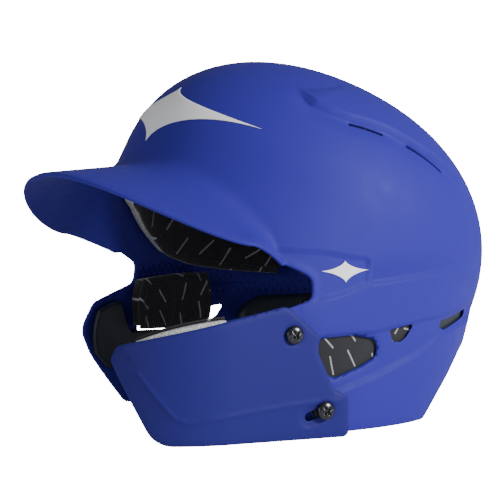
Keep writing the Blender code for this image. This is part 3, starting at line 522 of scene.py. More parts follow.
def kept_spots(spots, fixed, clear):
    """Those spots inside the shell's outline and clear of the fixed points on it."""
    keep = inside(spots, loops[0])
    for hole in loops[1:]:
        keep &= ~inside(spots, hole)
    spots = spots[keep]
    tree = kdtree.KDTree(len(fixed))
    for k, place in enumerate(skin(fixed)):
        tree.insert(place, k)
    tree.balance()
    gaps = np.array([tree.find(place)[2] for place in skin(spots)])
    return spots[gaps > clear]


loop_spots = np.vstack(loops)
loop_edges = []
start = 0
for loop in loops:
    loop_edges += [(start + k, start + (k + 1) % len(loop)) for k in range(len(loop))]
    start += len(loop)


def map_triangles(spots):
    """Triangles over the spots, within the outline and outside the openings."""
    result = geometry.delaunay_2d_cdt([Vector(s) for s in spots], loop_edges, [], 0, 1e-9)
    order = [source[0] if source else -1 for source in result[3]]
    triangles = np.array([[order[v] for v in face] for face in result[2]])
    middles = spots[triangles].mean(1)
    keep = inside(middles, loops[0])
    for hole in loops[1:]:
        keep &= ~inside(middles, hole)
    return triangles[keep]


line_spots = []
for line in mould_lines:
    for row in line.rows:
        moved = line.points + line.up * row
        spaced = evenly(moved, 0.0016)
        half = from_side(spaced[:, 1:])
        line_spots += [half, half * [-1, 1]]
line_spots = kept_spots(np.vstack(line_spots), loop_spots, 0.0008)
seen = {}
for k, place in enumerate(skin(line_spots)):
    seen.setdefault(tuple(np.round(place / 0.0009).astype(int)), k)
line_spots = line_spots[sorted(seen.values())]
outer_fixed = np.vstack([loop_spots, line_spots])
outer_spots = np.vstack([outer_fixed, kept_spots(ring_spots(OUTSIDE_GRAIN), outer_fixed, 0.0012)])
inner_spots = np.vstack([loop_spots, kept_spots(ring_spots(INSIDE_GRAIN), loop_spots, 0.0019)])

outer_base = skin(outer_spots)
outer_normals = skin_normals(outer_spots)
edge_gap = np.array([edge_tree.find(place)[2] for place in outer_base])
outer_rise = moulding(outer_base) * ease(edge_gap, 0.0, 0.004)
outer_rise -= 0.0006 * np.clip(1 - edge_gap / 0.0032, 0, 1) ** 2
outer_points = outer_base + outer_normals * outer_rise[:, None]
inner_points = skin(inner_spots) - skin_normals(inner_spots) * WALL
outer_faces = map_triangles(outer_spots)
inner_faces = map_triangles(inner_spots)

shell_points = [outer_points, inner_points]
shell_faces = [outer_faces.tolist(), (inner_faces[:, ::-1] + len(outer_points)).tolist()]
count = len(outer_points) + len(inner_points)
start = 0
for number, loop in enumerate(loops):
    rows = [list(range(start, start + len(loop)))]
    over = outer_points[rows[0]]
    under = inner_points[rows[0]]
    out = over - under
    out /= np.linalg.norm(out, axis=1)[:, None]
    ahead = np.roll(over, -1, 0) - np.roll(over, 1, 0)
    ahead /= np.linalg.norm(ahead, axis=1)[:, None]
    aside = np.cross(ahead, out) * (0.0011 if number == 0 else -0.0003)
    for turn in (36, 72, 108, 144):
        turn = math.radians(turn)
        middle = (over + under) / 2
        shell_points.append(middle + (over - under) / 2 * math.cos(turn) + aside * math.sin(turn))
        rows.append(list(range(count, count + len(loop))))
        count += len(loop)
    rows.append([len(outer_points) + k for k in rows[0]])
    flip = number > 0
    for upper, lower in zip(rows, rows[1:]):
        for k in range(len(loop)):
            m = (k + 1) % len(loop)
            face = (upper[k], lower[k], lower[m], upper[m])
            shell_faces.append([face[::-1] if flip else face])
    start += len(loop)
shell_faces = [face for group in shell_faces for face in group]
shell_points = np.vstack(shell_points)


def new_piece(name, points, faces, material, smooth=True):
    """A mesh object from points and faces already in place."""
    mesh = bpy.data.meshes.new(name)
    mesh.from_pydata([tuple(p) for p in points], [], [tuple(f) for f in faces])
    mesh.materials.append(material)
    if smooth:
        mesh.shade_smooth()
    mesh.validate()
    piece = bpy.data.objects.new(name, mesh)
    bpy.context.scene.collection.objects.link(piece)
    return piece


def node_material(name):
    material = bpy.data.materials.new(name)
    material.use_nodes = True
    tree = material.node_tree
    return material, tree, tree.nodes["Principled BSDF"]


def moulded_plastic(name, deep, pale, roughness, grain_scale, seed_offset):
    """Satin ABS: slow colour drift, fine moulding texture, faint handling scuffs."""
    material, tree, shader = node_material(name)
    place = tree.nodes.new("ShaderNodeTexCoord")
    moved = tree.nodes.new("ShaderNodeMapping")
    moved.inputs["Location"].default_value = (seed_offset, 0.3 * seed_offset, 0.0)
    tree.links.new(place.outputs["Object"], moved.inputs["Vector"])
    drift = tree.nodes.new("ShaderNodeTexNoise")
    drift.inputs["Scale"].default_value = 9.0
    drift.inputs["Detail"].default_value = 2.0
    grain = tree.nodes.new("ShaderNodeTexNoise")
    grain.inputs["Scale"].default_value = grain_scale
    grain.inputs["Detail"].default_value = 3.0
    scuffs = tree.nodes.new("ShaderNodeTexNoise")
    scuffs.inputs["Scale"].default_value = 70.0
    scuffs.inputs["Detail"].default_value = 6.0
    scuffs.inputs["Distortion"].default_value = 0.6
    for texture in (drift, grain, scuffs):
        tree.links.new(moved.outputs["Vector"], texture.inputs["Vector"])
    paint = tree.nodes.new("ShaderNodeMix")
    paint.data_type = "RGBA"
    paint.inputs["A"].default_value = deep
    paint.inputs["B"].default_value = pale
    tree.links.new(drift.outputs["Fac"], paint.inputs["Factor"])
    tree.links.new(paint.outputs["Result"], shader.inputs["Base Color"])
    gloss = tree.nodes.new("ShaderNodeMapRange")
    gloss.inputs["From Min"].default_value = 0.35
    gloss.inputs["From Max"].default_value = 0.70
    gloss.inputs["To Min"].default_value = roughness - 0.05
    gloss.inputs["To Max"].default_value = roughness + 0.06
    tree.links.new(scuffs.outputs["Fac"], gloss.inputs["Value"])
    tree.links.new(gloss.outputs["Result"], shader.inputs["Roughness"])
    bump = tree.nodes.new("ShaderNodeBump")
    bump.inputs["Strength"].default_value = 0.12
    bump.inputs["Distance"].default_value = 0.0002
    tree.links.new(grain.outputs["Fac"], bump.inputs["Height"])
    tree.links.new(bump.outputs["Normal"], shader.inputs["Normal"])
    shader.inputs["Specular IOR Level"].default_value = 0.08
    return material


shell_plastic = moulded_plastic(
    "satin_royal_blue", (0.032, 0.026, 0.280, 1.0), (0.038, 0.031, 0.325, 1.0), 0.52, 1600.0, 0.0)
shell = new_piece("moulded_shell", shell_points + [SHELL_X, SHELL_Y, 0], shell_faces, shell_plastic)

# The two bosses moulded inside the left flap, drilled for the jaw guard's T-nuts.
pivot = next(joint for joint in frame["joints"] if joint["name"] == "jaw_guard_tilt")
PIVOT = Vector(pivot["pos_m"])
PIVOT_OUT = Vector(pivot["axis"])
PIVOT_BACK = Vector((0, 0, 1)).cross(PIVOT_OUT)
GUARD_SPACE = Matrix((
    (PIVOT_OUT.x, PIVOT_BACK.x, 0, PIVOT.x),
    (PIVOT_OUT.y, PIVOT_BACK.y, 0, PIVOT.y),
    (PIVOT_OUT.z, PIVOT_BACK.z, 1, PIVOT.z),
    (0, 0, 0, 1)))
SCREWS = [(0.0, 0.0), (0.021, -0.046)]


def turned_ring(profile, steps):
    """A closed ring turned about local X from corner points (x, radius)."""
    maker = bmesh.new()
    turns = [2 * math.pi * k / steps for k in range(steps)]
    rings = [[maker.verts.new((x, r * math.cos(turn), r * math.sin(turn))) for turn in turns]
             for x, r in profile]
    for n in range(len(rings)):
        upper, lower = rings[n], rings[(n + 1) % len(rings)]
        for k in range(steps):
            m = (k + 1) % steps
            maker.faces.new((upper[k], upper[m], lower[m], lower[k]))
    bmesh.ops.recalc_face_normals(maker, faces=maker.faces)
    return maker


boss_maker = bmesh.new()
for back, up in SCREWS:
    ring = turned_ring([(-0.0087, 0.0040), (-0.0087, 0.0066), (-0.0083, 0.0070), (-0.0004, 0.0070),
                        (0.0, 0.0066), (0.0, 0.0040)], 40)
    ring.transform(GUARD_SPACE @ Matrix.Translation((0, back, up)))
    scrap = bpy.data.meshes.new("scrap")
    ring.to_mesh(scrap)
    ring.free()
    boss_maker.from_mesh(scrap)
    bpy.data.meshes.remove(scrap)
bosses_mesh = bpy.data.meshes.new("screw_bosses")
boss_maker.to_mesh(bosses_mesh)
boss_maker.free()
bosses_mesh.materials.append(shell_plastic)
bosses = bpy.data.objects.new("screw_bosses", bosses_mesh)
bpy.context.scene.collection.objects.link(bosses)
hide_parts("shell")
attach(shell, "helmet")
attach(bosses, "helmet")

# Grip dots: low round bumps moulded in rows on the shell's inside below the head band, where
# the fitter's adhesive pads would sit. Same plastic as the shell.


def new_tree(name, inputs):
    """A Geometry Nodes tree with a geometry in and out and the named inputs given."""
    tree = bpy.data.node_groups.new(name, "GeometryNodeTree")
    tree.interface.new_socket("Geometry", in_out="INPUT", socket_type="NodeSocketGeometry")
    for label, kind, value in inputs:
        socket = tree.interface.new_socket(label, in_out="INPUT", socket_type=kind)
        if value is not None:
            socket.default_value = value
    tree.interface.new_socket("Geometry", in_out="OUTPUT", socket_type="NodeSocketGeometry")
    return tree, tree.nodes.new("NodeGroupInput"), tree.nodes.new("NodeGroupOutput")


def grown(name, base, tree, settings, material):
    """The plain mesh that a tree grows on a base object, as a new object; the base goes."""
    modifier = base.modifiers.new("growth", "NODES")
    modifier.node_group = tree
    for item in tree.interface.items_tree:
        if item.in_out == "INPUT" and item.name in settings:
            modifier[item.identifier] = settings[item.name]
    bpy.context.view_layer.update()
    graph = bpy.context.evaluated_depsgraph_get()
    mesh = bpy.data.meshes.new_from_object(base.evaluated_get(graph), depsgraph=graph)
    mesh.name = name
    if not mesh.materials:
        mesh.materials.append(material)
    bpy.data.objects.remove(base)
    piece = bpy.data.objects.new(name, mesh)
    bpy.context.scene.collection.objects.link(piece)
    return piece


def point_base(name, places, normals, edges=()):
    """Points, loose or joined in lines, that carry the direction each copy faces."""
    mesh = bpy.data.meshes.new(name)
    mesh.from_pydata([tuple(p) for p in places], edges, [])
    facing = mesh.attributes.new("facing", "FLOAT_VECTOR", "POINT")
    facing.data.foreach_set("vector", np.asarray(normals, np.float32).ravel())
    base = bpy.data.objects.new(name, mesh)
    bpy.context.scene.collection.objects.link(base)
    return base


dot_tree, dot_in, dot_out = new_tree("moulded_dots", [
    ("Dot Radius", "NodeSocketFloat", 0.0013), ("Dot Height", "NodeSocketFloat", 0.0006),
    ("Finish", "NodeSocketMaterial", None)])
dot = dot_tree.nodes.new("GeometryNodeMeshIcoSphere")
dot.inputs["Subdivisions"].default_value = 2
squash_size = dot_tree.nodes.new("ShaderNodeCombineXYZ")
dot_shape = dot_tree.nodes.new("GeometryNodeTransform")
dot_facing = dot_tree.nodes.new("GeometryNodeInputNamedAttribute")
dot_facing.data_type = "FLOAT_VECTOR"
dot_facing.inputs["Name"].default_value = "facing"
dot_turn = dot_tree.nodes.new("FunctionNodeAlignRotationToVector")
dot_turn.axis = "Z"
dot_place = dot_tree.nodes.new("GeometryNodeInstanceOnPoints")
dot_real = dot_tree.nodes.new("GeometryNodeRealizeInstances")
dot_paint = dot_tree.nodes.new("GeometryNodeSetMaterial")
dot_tree.links.new(dot_in.outputs["Dot Radius"], squash_size.inputs["X"])
dot_tree.links.new(dot_in.outputs["Dot Radius"], squash_size.inputs["Y"])
dot_tree.links.new(dot_in.outputs["Dot Height"], squash_size.inputs["Z"])
dot_tree.links.new(dot.outputs["Mesh"], dot_shape.inputs["Geometry"])
dot_tree.links.new(squash_size.outputs["Vector"], dot_shape.inputs["Scale"])
dot_tree.links.new(dot_facing.outputs["Attribute"], dot_turn.inputs["Vector"])
dot_tree.links.new(dot_in.outputs["Geometry"], dot_place.inputs["Points"])
dot_tree.links.new(dot_shape.outputs["Geometry"], dot_place.inputs["Instance"])
dot_tree.links.new(dot_turn.outputs["Rotation"], dot_place.inputs["Rotation"])
dot_tree.links.new(dot_place.outputs["Instances"], dot_real.inputs["Geometry"])
dot_tree.links.new(dot_real.outputs["Geometry"], dot_paint.inputs["Geometry"])
dot_tree.links.new(dot_in.outputs["Finish"], dot_paint.inputs["Material"])
dot_tree.links.new(dot_paint.outputs["Geometry"], dot_out.inputs["Geometry"])

DOT_RADIUS = 0.0013
DOT_HEIGHT = 0.0006
DOT_SPACING = 0.0052
DOT_ROW_SPACING = 0.0050
DOT_FIRST = (-0.064, 0.0725)
dot_spots = []
for row in range(5):
    for column in range(26):
        dot_spots.append((DOT_FIRST[0] + DOT_SPACING * column + DOT_SPACING / 2 * (row % 2),
                          DOT_FIRST[1] + DOT_ROW_SPACING * row))
dot_spots = np.array(dot_spots)
dot_spots = dot_spots[dot_spots[:, 1] < 0.094]
dot_maps = np.vstack([from_side(dot_spots), from_side(dot_spots, -1)])
dot_maps = dot_maps[inside(dot_maps, loops[0])]
for hole in loops[1:]:
    dot_maps = dot_maps[~inside(dot_maps, hole)]
dot_normals = -skin_normals(dot_maps)
dot_places = skin(dot_maps) + dot_normals * WALL + [SHELL_X, SHELL_Y, 0]
dots = grown("inner_grip_dots", point_base("dot_points", dot_places, dot_normals), dot_tree,
             {"Dot Radius": DOT_RADIUS, "Dot Height": DOT_HEIGHT, "Finish": shell_plastic}, shell_plastic)
dots.data.shade_smooth()
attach(dots, "helmet")

# Jaw guard: a separate injection moulding in the same blue, 3 mm thick, flat where it is screwed
# to the left flap and bent round the jaw in front. Its lower band is bevelled and its slot is sunk.
# Its plastic is a darker copy of the shell's blue, which is painted shade.

GUARD_FACE = 0.0058
GUARD_FLAT = 0.040
GUARD_BEND = 0.080
GUARD_FOOT = -0.0629
GUARD_WALL = 0.003
GUARD_GRAIN = 0.0014
SCREW_HOLE = 0.0029
SLOT_SWEEP = math.radians(12)


def guard_skin(spots, depth=0.0):
    """Points on the guard's outer face, from places forward of and above the pivot screw."""
    spots = np.asarray(spots, float)
    depth = np.broadcast_to(depth, len(spots))
    bend = np.clip(spots[:, 0] - GUARD_FLAT, 0, None) / GUARD_BEND
    radius = GUARD_BEND - depth
    out = np.where(bend > 0, GUARD_FACE - GUARD_BEND + radius * np.cos(bend), GUARD_FACE - depth)
    back = np.where(bend > 0, -GUARD_FLAT - radius * np.sin(bend), -spots[:, 0])
    local = np.column_stack([out, back, spots[:, 1], np.ones(len(spots))])
    return (local @ np.array(GUARD_SPACE).T)[:, :3]


guard_edge = evenly(rounded([
    (0.110, -0.0050, 0.006),
    (0.004, 0.0165, 0.007),
    (-0.0185, -0.0025, 0.0025),
    (-0.015, -0.0085, 0.0025),
    (-0.027, -0.0340, 0.005),
    (-0.037, -0.0385, 0.003),
    (-0.0385, GUARD_FOOT + 0.0005, 0.004),
    (0.0865, GUARD_FOOT + 0.0005, 0.018),
    (0.115, -0.0130, 0.004)]), 0.0014, closed=True)
pivot_hole = np.array([(SCREW_HOLE * math.cos(a), SCREW_HOLE * math.sin(a))
                       for a in np.linspace(0, 2 * math.pi, 29)[:-1]])
slot_arm = math.hypot(*SCREWS[1])
slot_rest = math.atan2(SCREWS[1][1], SCREWS[1][0])
slot_turns = np.linspace(slot_rest, slot_rest - SLOT_SWEEP, 9)
slot_middle = np.column_stack([-slot_arm * np.cos(slot_turns), slot_arm * np.sin(slot_turns)])
slot_hole = []
for end, first in ((slot_middle[0], True), (slot_middle[-1], False)):
    along = slot_middle[1] - slot_middle[0] if first else slot_middle[-1] - slot_middle[-2]
    heading = math.atan2(along[1], along[0]) + (math.pi / 2 if first else -math.pi / 2)
    for a in np.linspace(0, math.pi, 11):
        slot_hole.append(end + SCREW_HOLE * np.array([math.cos(heading + a), math.sin(heading + a)]))
slot_hole = evenly(slot_hole, 0.0009, closed=True)
guard_loops = [counter_clockwise(loop) for loop in (guard_edge, pivot_hole, slot_hole)]

guard_grid = []
for row in range(60):
    for column in range(120):
        guard_grid.append((-0.042 + GUARD_GRAIN * (column + 0.5 * (row % 2)), -0.066 + GUARD_GRAIN * row))
guard_crease = np.array([(0.096, -0.0200), (0.088, -0.0305), (0.075, -0.0455), (0.067, -0.0487),
                         (0.0205, -0.0430), (-0.0085, -0.0405), (-0.030, -0.0400)])
crease_rows = [evenly(guard_crease + [0, shift], 0.0014) for shift in (-0.0018, -0.0006, 0.0006)]


def line_gap(points, line):
    """Distance to a line, positive above or ahead of it, and the nearest share along it."""
    best = np.full(len(points), 9.0)
    sign = np.ones(len(points))
    for a, b in zip(line, line[1:]):
        t = np.clip((points - a) @ (b - a) / ((b - a) @ (b - a)), 0, 1)
        off = points - (a + t[:, None] * (b - a))
        far = np.linalg.norm(off, axis=1)
        closer = far < best
        sign = np.where(closer, np.sign((b - a)[1] * off[:, 0] - (b - a)[0] * off[:, 1]), sign)
        best = np.where(closer, far, best)
    return best * sign


def guard_relief(spots):
    gap = line_gap(spots, guard_crease)
    rise = -0.09 * np.clip(-gap - 0.0004, 0, 0.020)
    rise += 0.0006 * ease(-gap, -0.0012, 0.0) * (1 - ease(-gap, 0.0, 0.0025))
    slot_gap = np.abs(line_gap(spots, slot_middle))
    rise -= 0.0010 * (1 - ease(slot_gap, 0.0052, 0.0066))
    pivot_gap = np.hypot(spots[:, 0], spots[:, 1])
    rise -= 0.0005 * (1 - ease(pivot_gap, 0.0062, 0.0072))
    edge_gap = np.abs(line_gap(spots, np.vstack([guard_loops[0], guard_loops[0][:1]])))
    rise -= 0.0007 * np.clip(1 - edge_gap / 0.0026, 0, 1) ** 2
    return rise


guard_fixed = np.vstack(guard_loops)
guard_spots = np.vstack(crease_rows + [np.array(guard_grid)])
keep = inside(guard_spots, guard_loops[0]) & ~inside(guard_spots, guard_loops[1]) & ~inside(
    guard_spots, guard_loops[2])
guard_spots = guard_spots[keep]
tree = kdtree.KDTree(len(guard_fixed))
for k, spot in enumerate(guard_fixed):
    tree.insert((spot[0], spot[1], 0), k)
tree.balance()
row_points = np.vstack(crease_rows)
row_tree = kdtree.KDTree(len(row_points))
for k, spot in enumerate(row_points):
    row_tree.insert((spot[0], spot[1], 0), k)
row_tree.balance()
free = []
for spot in guard_spots:
    place = (spot[0], spot[1], 0)
    row_gap = row_tree.find(place)[2]
    free.append(tree.find(place)[2] > 0.0008 and (row_gap < 1e-7 or row_gap > 0.0008))
guard_spots = np.vstack([guard_fixed, guard_spots[np.array(free)]])
loop_edges = []
start = 0
for loop in guard_loops:
    loop_edges += [(start + k, start + (k + 1) % len(loop)) for k in range(len(loop))]
    start += len(loop)
result = geometry.delaunay_2d_cdt([Vector(s) for s in guard_spots], loop_edges, [], 0, 1e-9)
order = [source[0] if source else -1 for source in result[3]]
guard_faces = np.array([[order[v] for v in face] for face in result[2]])
middles = guard_spots[guard_faces].mean(1)
guard_faces = guard_faces[inside(middles, guard_loops[0]) & ~inside(middles, guard_loops[1])
                          & ~inside(middles, guard_loops[2])]
guard_over = guard_skin(guard_spots, -guard_relief(guard_spots))
guard_under = guard_skin(guard_spots, np.full(len(guard_spots), GUARD_WALL))
count = len(guard_spots)
guard_points = [guard_over, guard_under]
all_faces = guard_faces[:, ::-1].tolist() + (guard_faces + count).tolist()
total = 2 * count
start = 0
for number, loop in enumerate(guard_loops):
    first = list(range(start, start + len(loop)))
    over, under = guard_over[first], guard_under[first]
    out = (over - under) / np.linalg.norm(over - under, axis=1)[:, None]
    ahead = np.roll(over, -1, 0) - np.roll(over, 1, 0)
    ahead /= np.linalg.norm(ahead, axis=1)[:, None]
    aside = np.cross(out, ahead) * (0.0005 if number == 0 else -0.0002)
    rows = [first]
    for turn in (45, 90, 135):
        turn = math.radians(turn)
        middle = (over + under) / 2
        guard_points.append(middle + (over - under) / 2 * math.cos(turn) + aside * math.sin(turn))
        rows.append(list(range(total, total + len(loop))))
        total += len(loop)
    rows.append([count + k for k in first])
    for upper, lower in zip(rows, rows[1:]):
        for k in range(len(loop)):
            m = (k + 1) % len(loop)
            face = (upper[k], upper[m], lower[m], lower[k])
            all_faces.append(face if number == 0 else face[::-1])
    start += len(loop)
# The guard's blue is darker than the shell's: painted shade standing in for the shade the guard sits in.
guard_plastic_painted_shade = moulded_plastic(
    "guard_royal_blue_painted_shade", (0.022, 0.020, 0.165, 1.0), (0.027, 0.024, 0.195, 1.0), 0.50, 1600.0, 0.7)
guard = new_piece("moulded_jaw_guard", np.vstack(guard_points), all_faces, guard_plastic_painted_shade)
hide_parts("jaw_guard")
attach(guard, "jaw_guard_body")

# Fasteners: two plated pan-head screws with cross recesses, into steel T-nuts behind the bosses,
# with a rubber spacer ring under the guard on each. Turned and pressed parts.

steel, tree, shader = node_material("black_chrome")
place = tree.nodes.new("ShaderNodeTexCoord")
swirl = tree.nodes.new("ShaderNodeTexNoise")
swirl.inputs["Scale"].default_value = 900.0
swirl.inputs["Detail"].default_value = 4.0
tone = tree.nodes.new("ShaderNodeValToRGB")
tone.color_ramp.elements[0].color = (0.02, 0.02, 0.024, 1.0)
tone.color_ramp.elements[1].color = (0.10, 0.10, 0.11, 1.0)
rubbed = tree.nodes.new("ShaderNodeMapRange")
rubbed.inputs["To Min"].default_value = 0.14
rubbed.inputs["To Max"].default_value = 0.34
ripple = tree.nodes.new("ShaderNodeBump")
ripple.inputs["Strength"].default_value = 0.1
ripple.inputs["Distance"].default_value = 0.0001
tree.links.new(place.outputs["Object"], swirl.inputs["Vector"])
tree.links.new(swirl.outputs["Fac"], tone.inputs["Fac"])
tree.links.new(tone.outputs["Color"], shader.inputs["Base Color"])
tree.links.new(swirl.outputs["Fac"], rubbed.inputs["Value"])
tree.links.new(rubbed.outputs["Result"], shader.inputs["Roughness"])
tree.links.new(swirl.outputs["Fac"], ripple.inputs["Height"])
tree.links.new(ripple.outputs["Normal"], shader.inputs["Normal"])
shader.inputs["Metallic"].default_value = 0.95

HEAD_SEAT = 0.0061
HEAD_RADIUS = 0.0055
HEAD_HEIGHT = 0.0030
HEAD_RIM = 0.0009
SHANK_RADIUS = 0.0024
RECESS_DEPTH = 0.0016
segments = 64
profile = [(-0.0085, SHANK_RADIUS - 0.0003), (-0.0080, SHANK_RADIUS), (HEAD_SEAT, SHANK_RADIUS),
           (HEAD_SEAT, HEAD_RADIUS - 0.0002), (HEAD_SEAT + 0.0003, HEAD_RADIUS),
           (HEAD_SEAT + HEAD_RIM, HEAD_RADIUS)]
for k in range(1, 13):
    lift = math.pi / 2 * k / 13
    domed = (HEAD_HEIGHT - HEAD_RIM) * math.sin(lift)
    profile.append((HEAD_SEAT + HEAD_RIM + domed, HEAD_RADIUS * math.cos(lift)))
profile.append((HEAD_SEAT + HEAD_HEIGHT, 0.0003))
screw_points, screw_faces = [], []
for x, r in profile:
    for k in range(segments):
        turn = 2 * math.pi * k / segments
        py, pz = r * math.cos(turn), r * math.sin(turn)
        spin = math.radians(35)
        cross_a = abs(py * math.cos(spin) + pz * math.sin(spin))
        cross_b = abs(-py * math.sin(spin) + pz * math.cos(spin))
        thin, wide = min(cross_a, cross_b), max(cross_a, cross_b)
        sunk = (1 - float(ease(thin, 0.00035, 0.00085))) * (1 - float(ease(wide, 0.0022, 0.0031)))
        deep = RECESS_DEPTH * sunk if x > HEAD_SEAT + 0.0012 else 0.0
        screw_points.append((x - deep, py, pz))
for n in range(len(profile) - 1):
    for k in range(segments):
        m = (k + 1) % segments
        a, b = n * segments, (n + 1) * segments
        screw_faces.append((a + k, a + m, b + m, b + k))
screw_faces.append(tuple(range(segments))[::-1])
screw_faces.append(tuple(range((len(profile) - 1) * segments, len(profile) * segments)))
screw_blank = new_piece("screw_blank", screw_points, screw_faces, steel)

screw_tree, screw_in, screw_out = new_tree("screw_set", [
    ("Screw", "NodeSocketObject", None), ("Finish", "NodeSocketMaterial", None)])
screw_info = screw_tree.nodes.new("GeometryNodeObjectInfo")
screw_put = screw_tree.nodes.new("GeometryNodeInstanceOnPoints")
screw_real = screw_tree.nodes.new("GeometryNodeRealizeInstances")
screw_paint = screw_tree.nodes.new("GeometryNodeSetMaterial")
screw_tree.links.new(screw_in.outputs["Screw"], screw_info.inputs["Object"])
screw_tree.links.new(screw_in.outputs["Geometry"], screw_put.inputs["Points"])
screw_tree.links.new(screw_info.outputs["Geometry"], screw_put.inputs["Instance"])
screw_tree.links.new(screw_put.outputs["Instances"], screw_real.inputs["Geometry"])
screw_tree.links.new(screw_real.outputs["Geometry"], screw_paint.inputs["Geometry"])
screw_tree.links.new(screw_in.outputs["Finish"], screw_paint.inputs["Material"])
screw_tree.links.new(screw_paint.outputs["Geometry"], screw_out.inputs["Geometry"])
screws = grown("guard_screws", point_base("screw_points", [(0, b, u) for b, u in SCREWS], [(1, 0, 0)] * 2),
               screw_tree, {"Screw": screw_blank, "Finish": steel}, steel)
bpy.data.objects.remove(screw_blank)
screws.data.transform(GUARD_SPACE)
bm = bmesh.new()
bm.from_mesh(screws.data)
bmesh.ops.recalc_face_normals(bm, faces=bm.faces)
bm.to_mesh(screws.data)
bm.free()
screws.data.shade_smooth()
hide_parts("pivot_screw", "slot_screw")
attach(screws, "helmet")

rubber, tree, shader = node_material("spacer_rubber_black")
place = tree.nodes.new("ShaderNodeTexCoord")
speck = tree.nodes.new("ShaderNodeTexNoise")
speck.inputs["Scale"].default_value = 1200.0
tone = tree.nodes.new("ShaderNodeValToRGB")
tone.color_ramp.elements[0].color = (0.012, 0.012, 0.013, 1.0)
tone.color_ramp.elements[1].color = (0.030, 0.030, 0.033, 1.0)
tree.links.new(place.outputs["Object"], speck.inputs["Vector"])
tree.links.new(speck.outputs["Fac"], tone.inputs["Fac"])
tree.links.new(tone.outputs["Color"], shader.inputs["Base Color"])
shader.inputs["Roughness"].default_value = 0.75
for name in ("pivot_t_nut", "slot_t_nut"):
    frame["nodes"][name].material_slots[0].material = steel
for name in ("pivot_spacer", "slot_spacer"):
    frame["nodes"][name].material_slots[0].material = rubber

# Emblems: thin white screen-printed vinyl, cut as plain four-pointed stars, one on the brow and
# one on each side's sunk panel. They follow the moulded surface under them.

vinyl, tree, shader = node_material("emblem_vinyl_white")
place = tree.nodes.new("ShaderNodeTexCoord")
cloud = tree.nodes.new("ShaderNodeTexNoise")
cloud.inputs["Scale"].default_value = 130.0
cloud.inputs["Detail"].default_value = 4.0
tone = tree.nodes.new("ShaderNodeValToRGB")
tone.color_ramp.elements[0].color = (0.93, 0.93, 0.96, 1.0)
tone.color_ramp.elements[1].color = (0.98, 0.98, 1.00, 1.0)
worn = tree.nodes.new("ShaderNodeMapRange")
worn.inputs["To Min"].default_value = 0.30
worn.inputs["To Max"].default_value = 0.48
tree.links.new(place.outputs["Object"], cloud.inputs["Vector"])
tree.links.new(cloud.outputs["Fac"], tone.inputs["Fac"])
tree.links.new(tone.outputs["Color"], shader.inputs["Base Color"])
tree.links.new(cloud.outputs["Fac"], worn.inputs["Value"])
tree.links.new(worn.outputs["Result"], shader.inputs["Roughness"])


def star_piece(name, to_map, half_wide, half_high, power, rings=14, steps=96, lean_out=0.0):
    """A four-pointed star lying on the moulded skin; to_map turns (across, up) into map spots."""
    flat, faces = [(0.0, 0.0)], []
    for ring in range(1, rings + 1):
        for k in range(steps):
            turn = 2 * math.pi * k / steps
            c, s = math.cos(turn), math.sin(turn)
            across = half_wide * math.copysign(abs(c) ** (2 / power), c) + 0.0005 * c
            up = half_high * math.copysign(abs(s) ** (2 / power), s) + 0.0005 * s
            if across > 0:
                across *= 1 + lean_out
            share = ring / rings
            droop = 0.10 * abs(across * share) * half_high / half_wide
            flat.append((across * share, up * share + droop))
    for k in range(steps):
        m = (k + 1) % steps
        faces.append((0, 1 + k, 1 + m))
        for ring in range(rings - 1):
            a, b = 1 + ring * steps, 1 + (ring + 1) * steps
            faces.append((a + k, b + k, b + m, a + m))
    spots = to_map(np.array(flat))
    base, normals = skin(spots), skin_normals(spots)
    rise = moulding(base)[:, None]
    count = len(flat)
    points = np.vstack([base + normals * (rise + 0.00045), base + normals * (rise + 0.00008)])
    outline = range(1 + (rings - 1) * steps, count)
    solid = [tuple(face) for face in faces] + [tuple(v + count for v in face[::-1]) for face in faces]
    outline = list(outline)
    for k in range(steps):
        a, b = outline[k], outline[(k + 1) % steps]
        solid.append((b, a, a + count, b + count))
    piece = new_piece(name, points + [SHELL_X, SHELL_Y, 0], solid, vinyl)
    bm = bmesh.new()
    bm.from_mesh(piece.data)
    bmesh.ops.recalc_face_normals(bm, faces=bm.faces)
    bm.to_mesh(piece.data)
    bm.free()
    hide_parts(name.replace("_print", ""))
    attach(piece, "helmet")
    return piece


brow_run = float(run_down_to(-math.pi / 2, 0.196))


def on_brow(flat):
    angle = -math.pi / 2 + flat[:, 0] / HALF_WIDTH
    run = brow_run - flat[:, 1] / (math.pi / 2 * CROWN_HEIGHT)
    return np.column_stack([run * np.cos(angle), run * np.sin(angle)])


star_piece("front_emblem_print", on_brow, 0.058, 0.019, 0.62, lean_out=0.22)
for word, side in (("left", 1), ("right", -1)):
    star_piece(word + "_emblem_print",
               lambda flat: from_side(flat + [-0.047, 0.0985], side), 0.0155, 0.006, 0.66)

# Head band, crown and ear pads: blocks of grey closed-cell foam glued to the shell, each faced
# with black knitted fabric that is drawn round its edges and stitched. The liner is soft.

FOAM_BACK = 0.0043
FOAM_FRONT = 0.0138
COVER_DEPTH = 0.0151
COVER_HALF = 0.0006
BAND_HEIGHT = 0.044
BAND_FOOT = [
    (0, 0.1655), (20, 0.1625), (32, 0.1530), (43, 0.1415), (52, 0.1335), (63, 0.1185),
    (74, 0.1030), (84, 0.0950), (95, 0.0895), (107, 0.0860), (127, 0.0805), (180, 0.0780)]


def lean(turn, run):
    """The map angle for a turn round the plan, which the pads are spaced by."""
    share = np.clip(run - 1, 0, None)
    power = PLAN_POWER + share * np.where(np.sin(turn) > 0, SKIRT_REAR_SQUARING, SKIRT_FRONT_SQUARING)
    c, s = np.cos(turn), np.sin(turn)
    return np.arctan2(np.sign(s) * np.abs(s) ** (2 / power), np.sign(c) * np.abs(c) ** (2 / power))


def wall_at(turn, run):
    return dome(lean(turn, run), run)


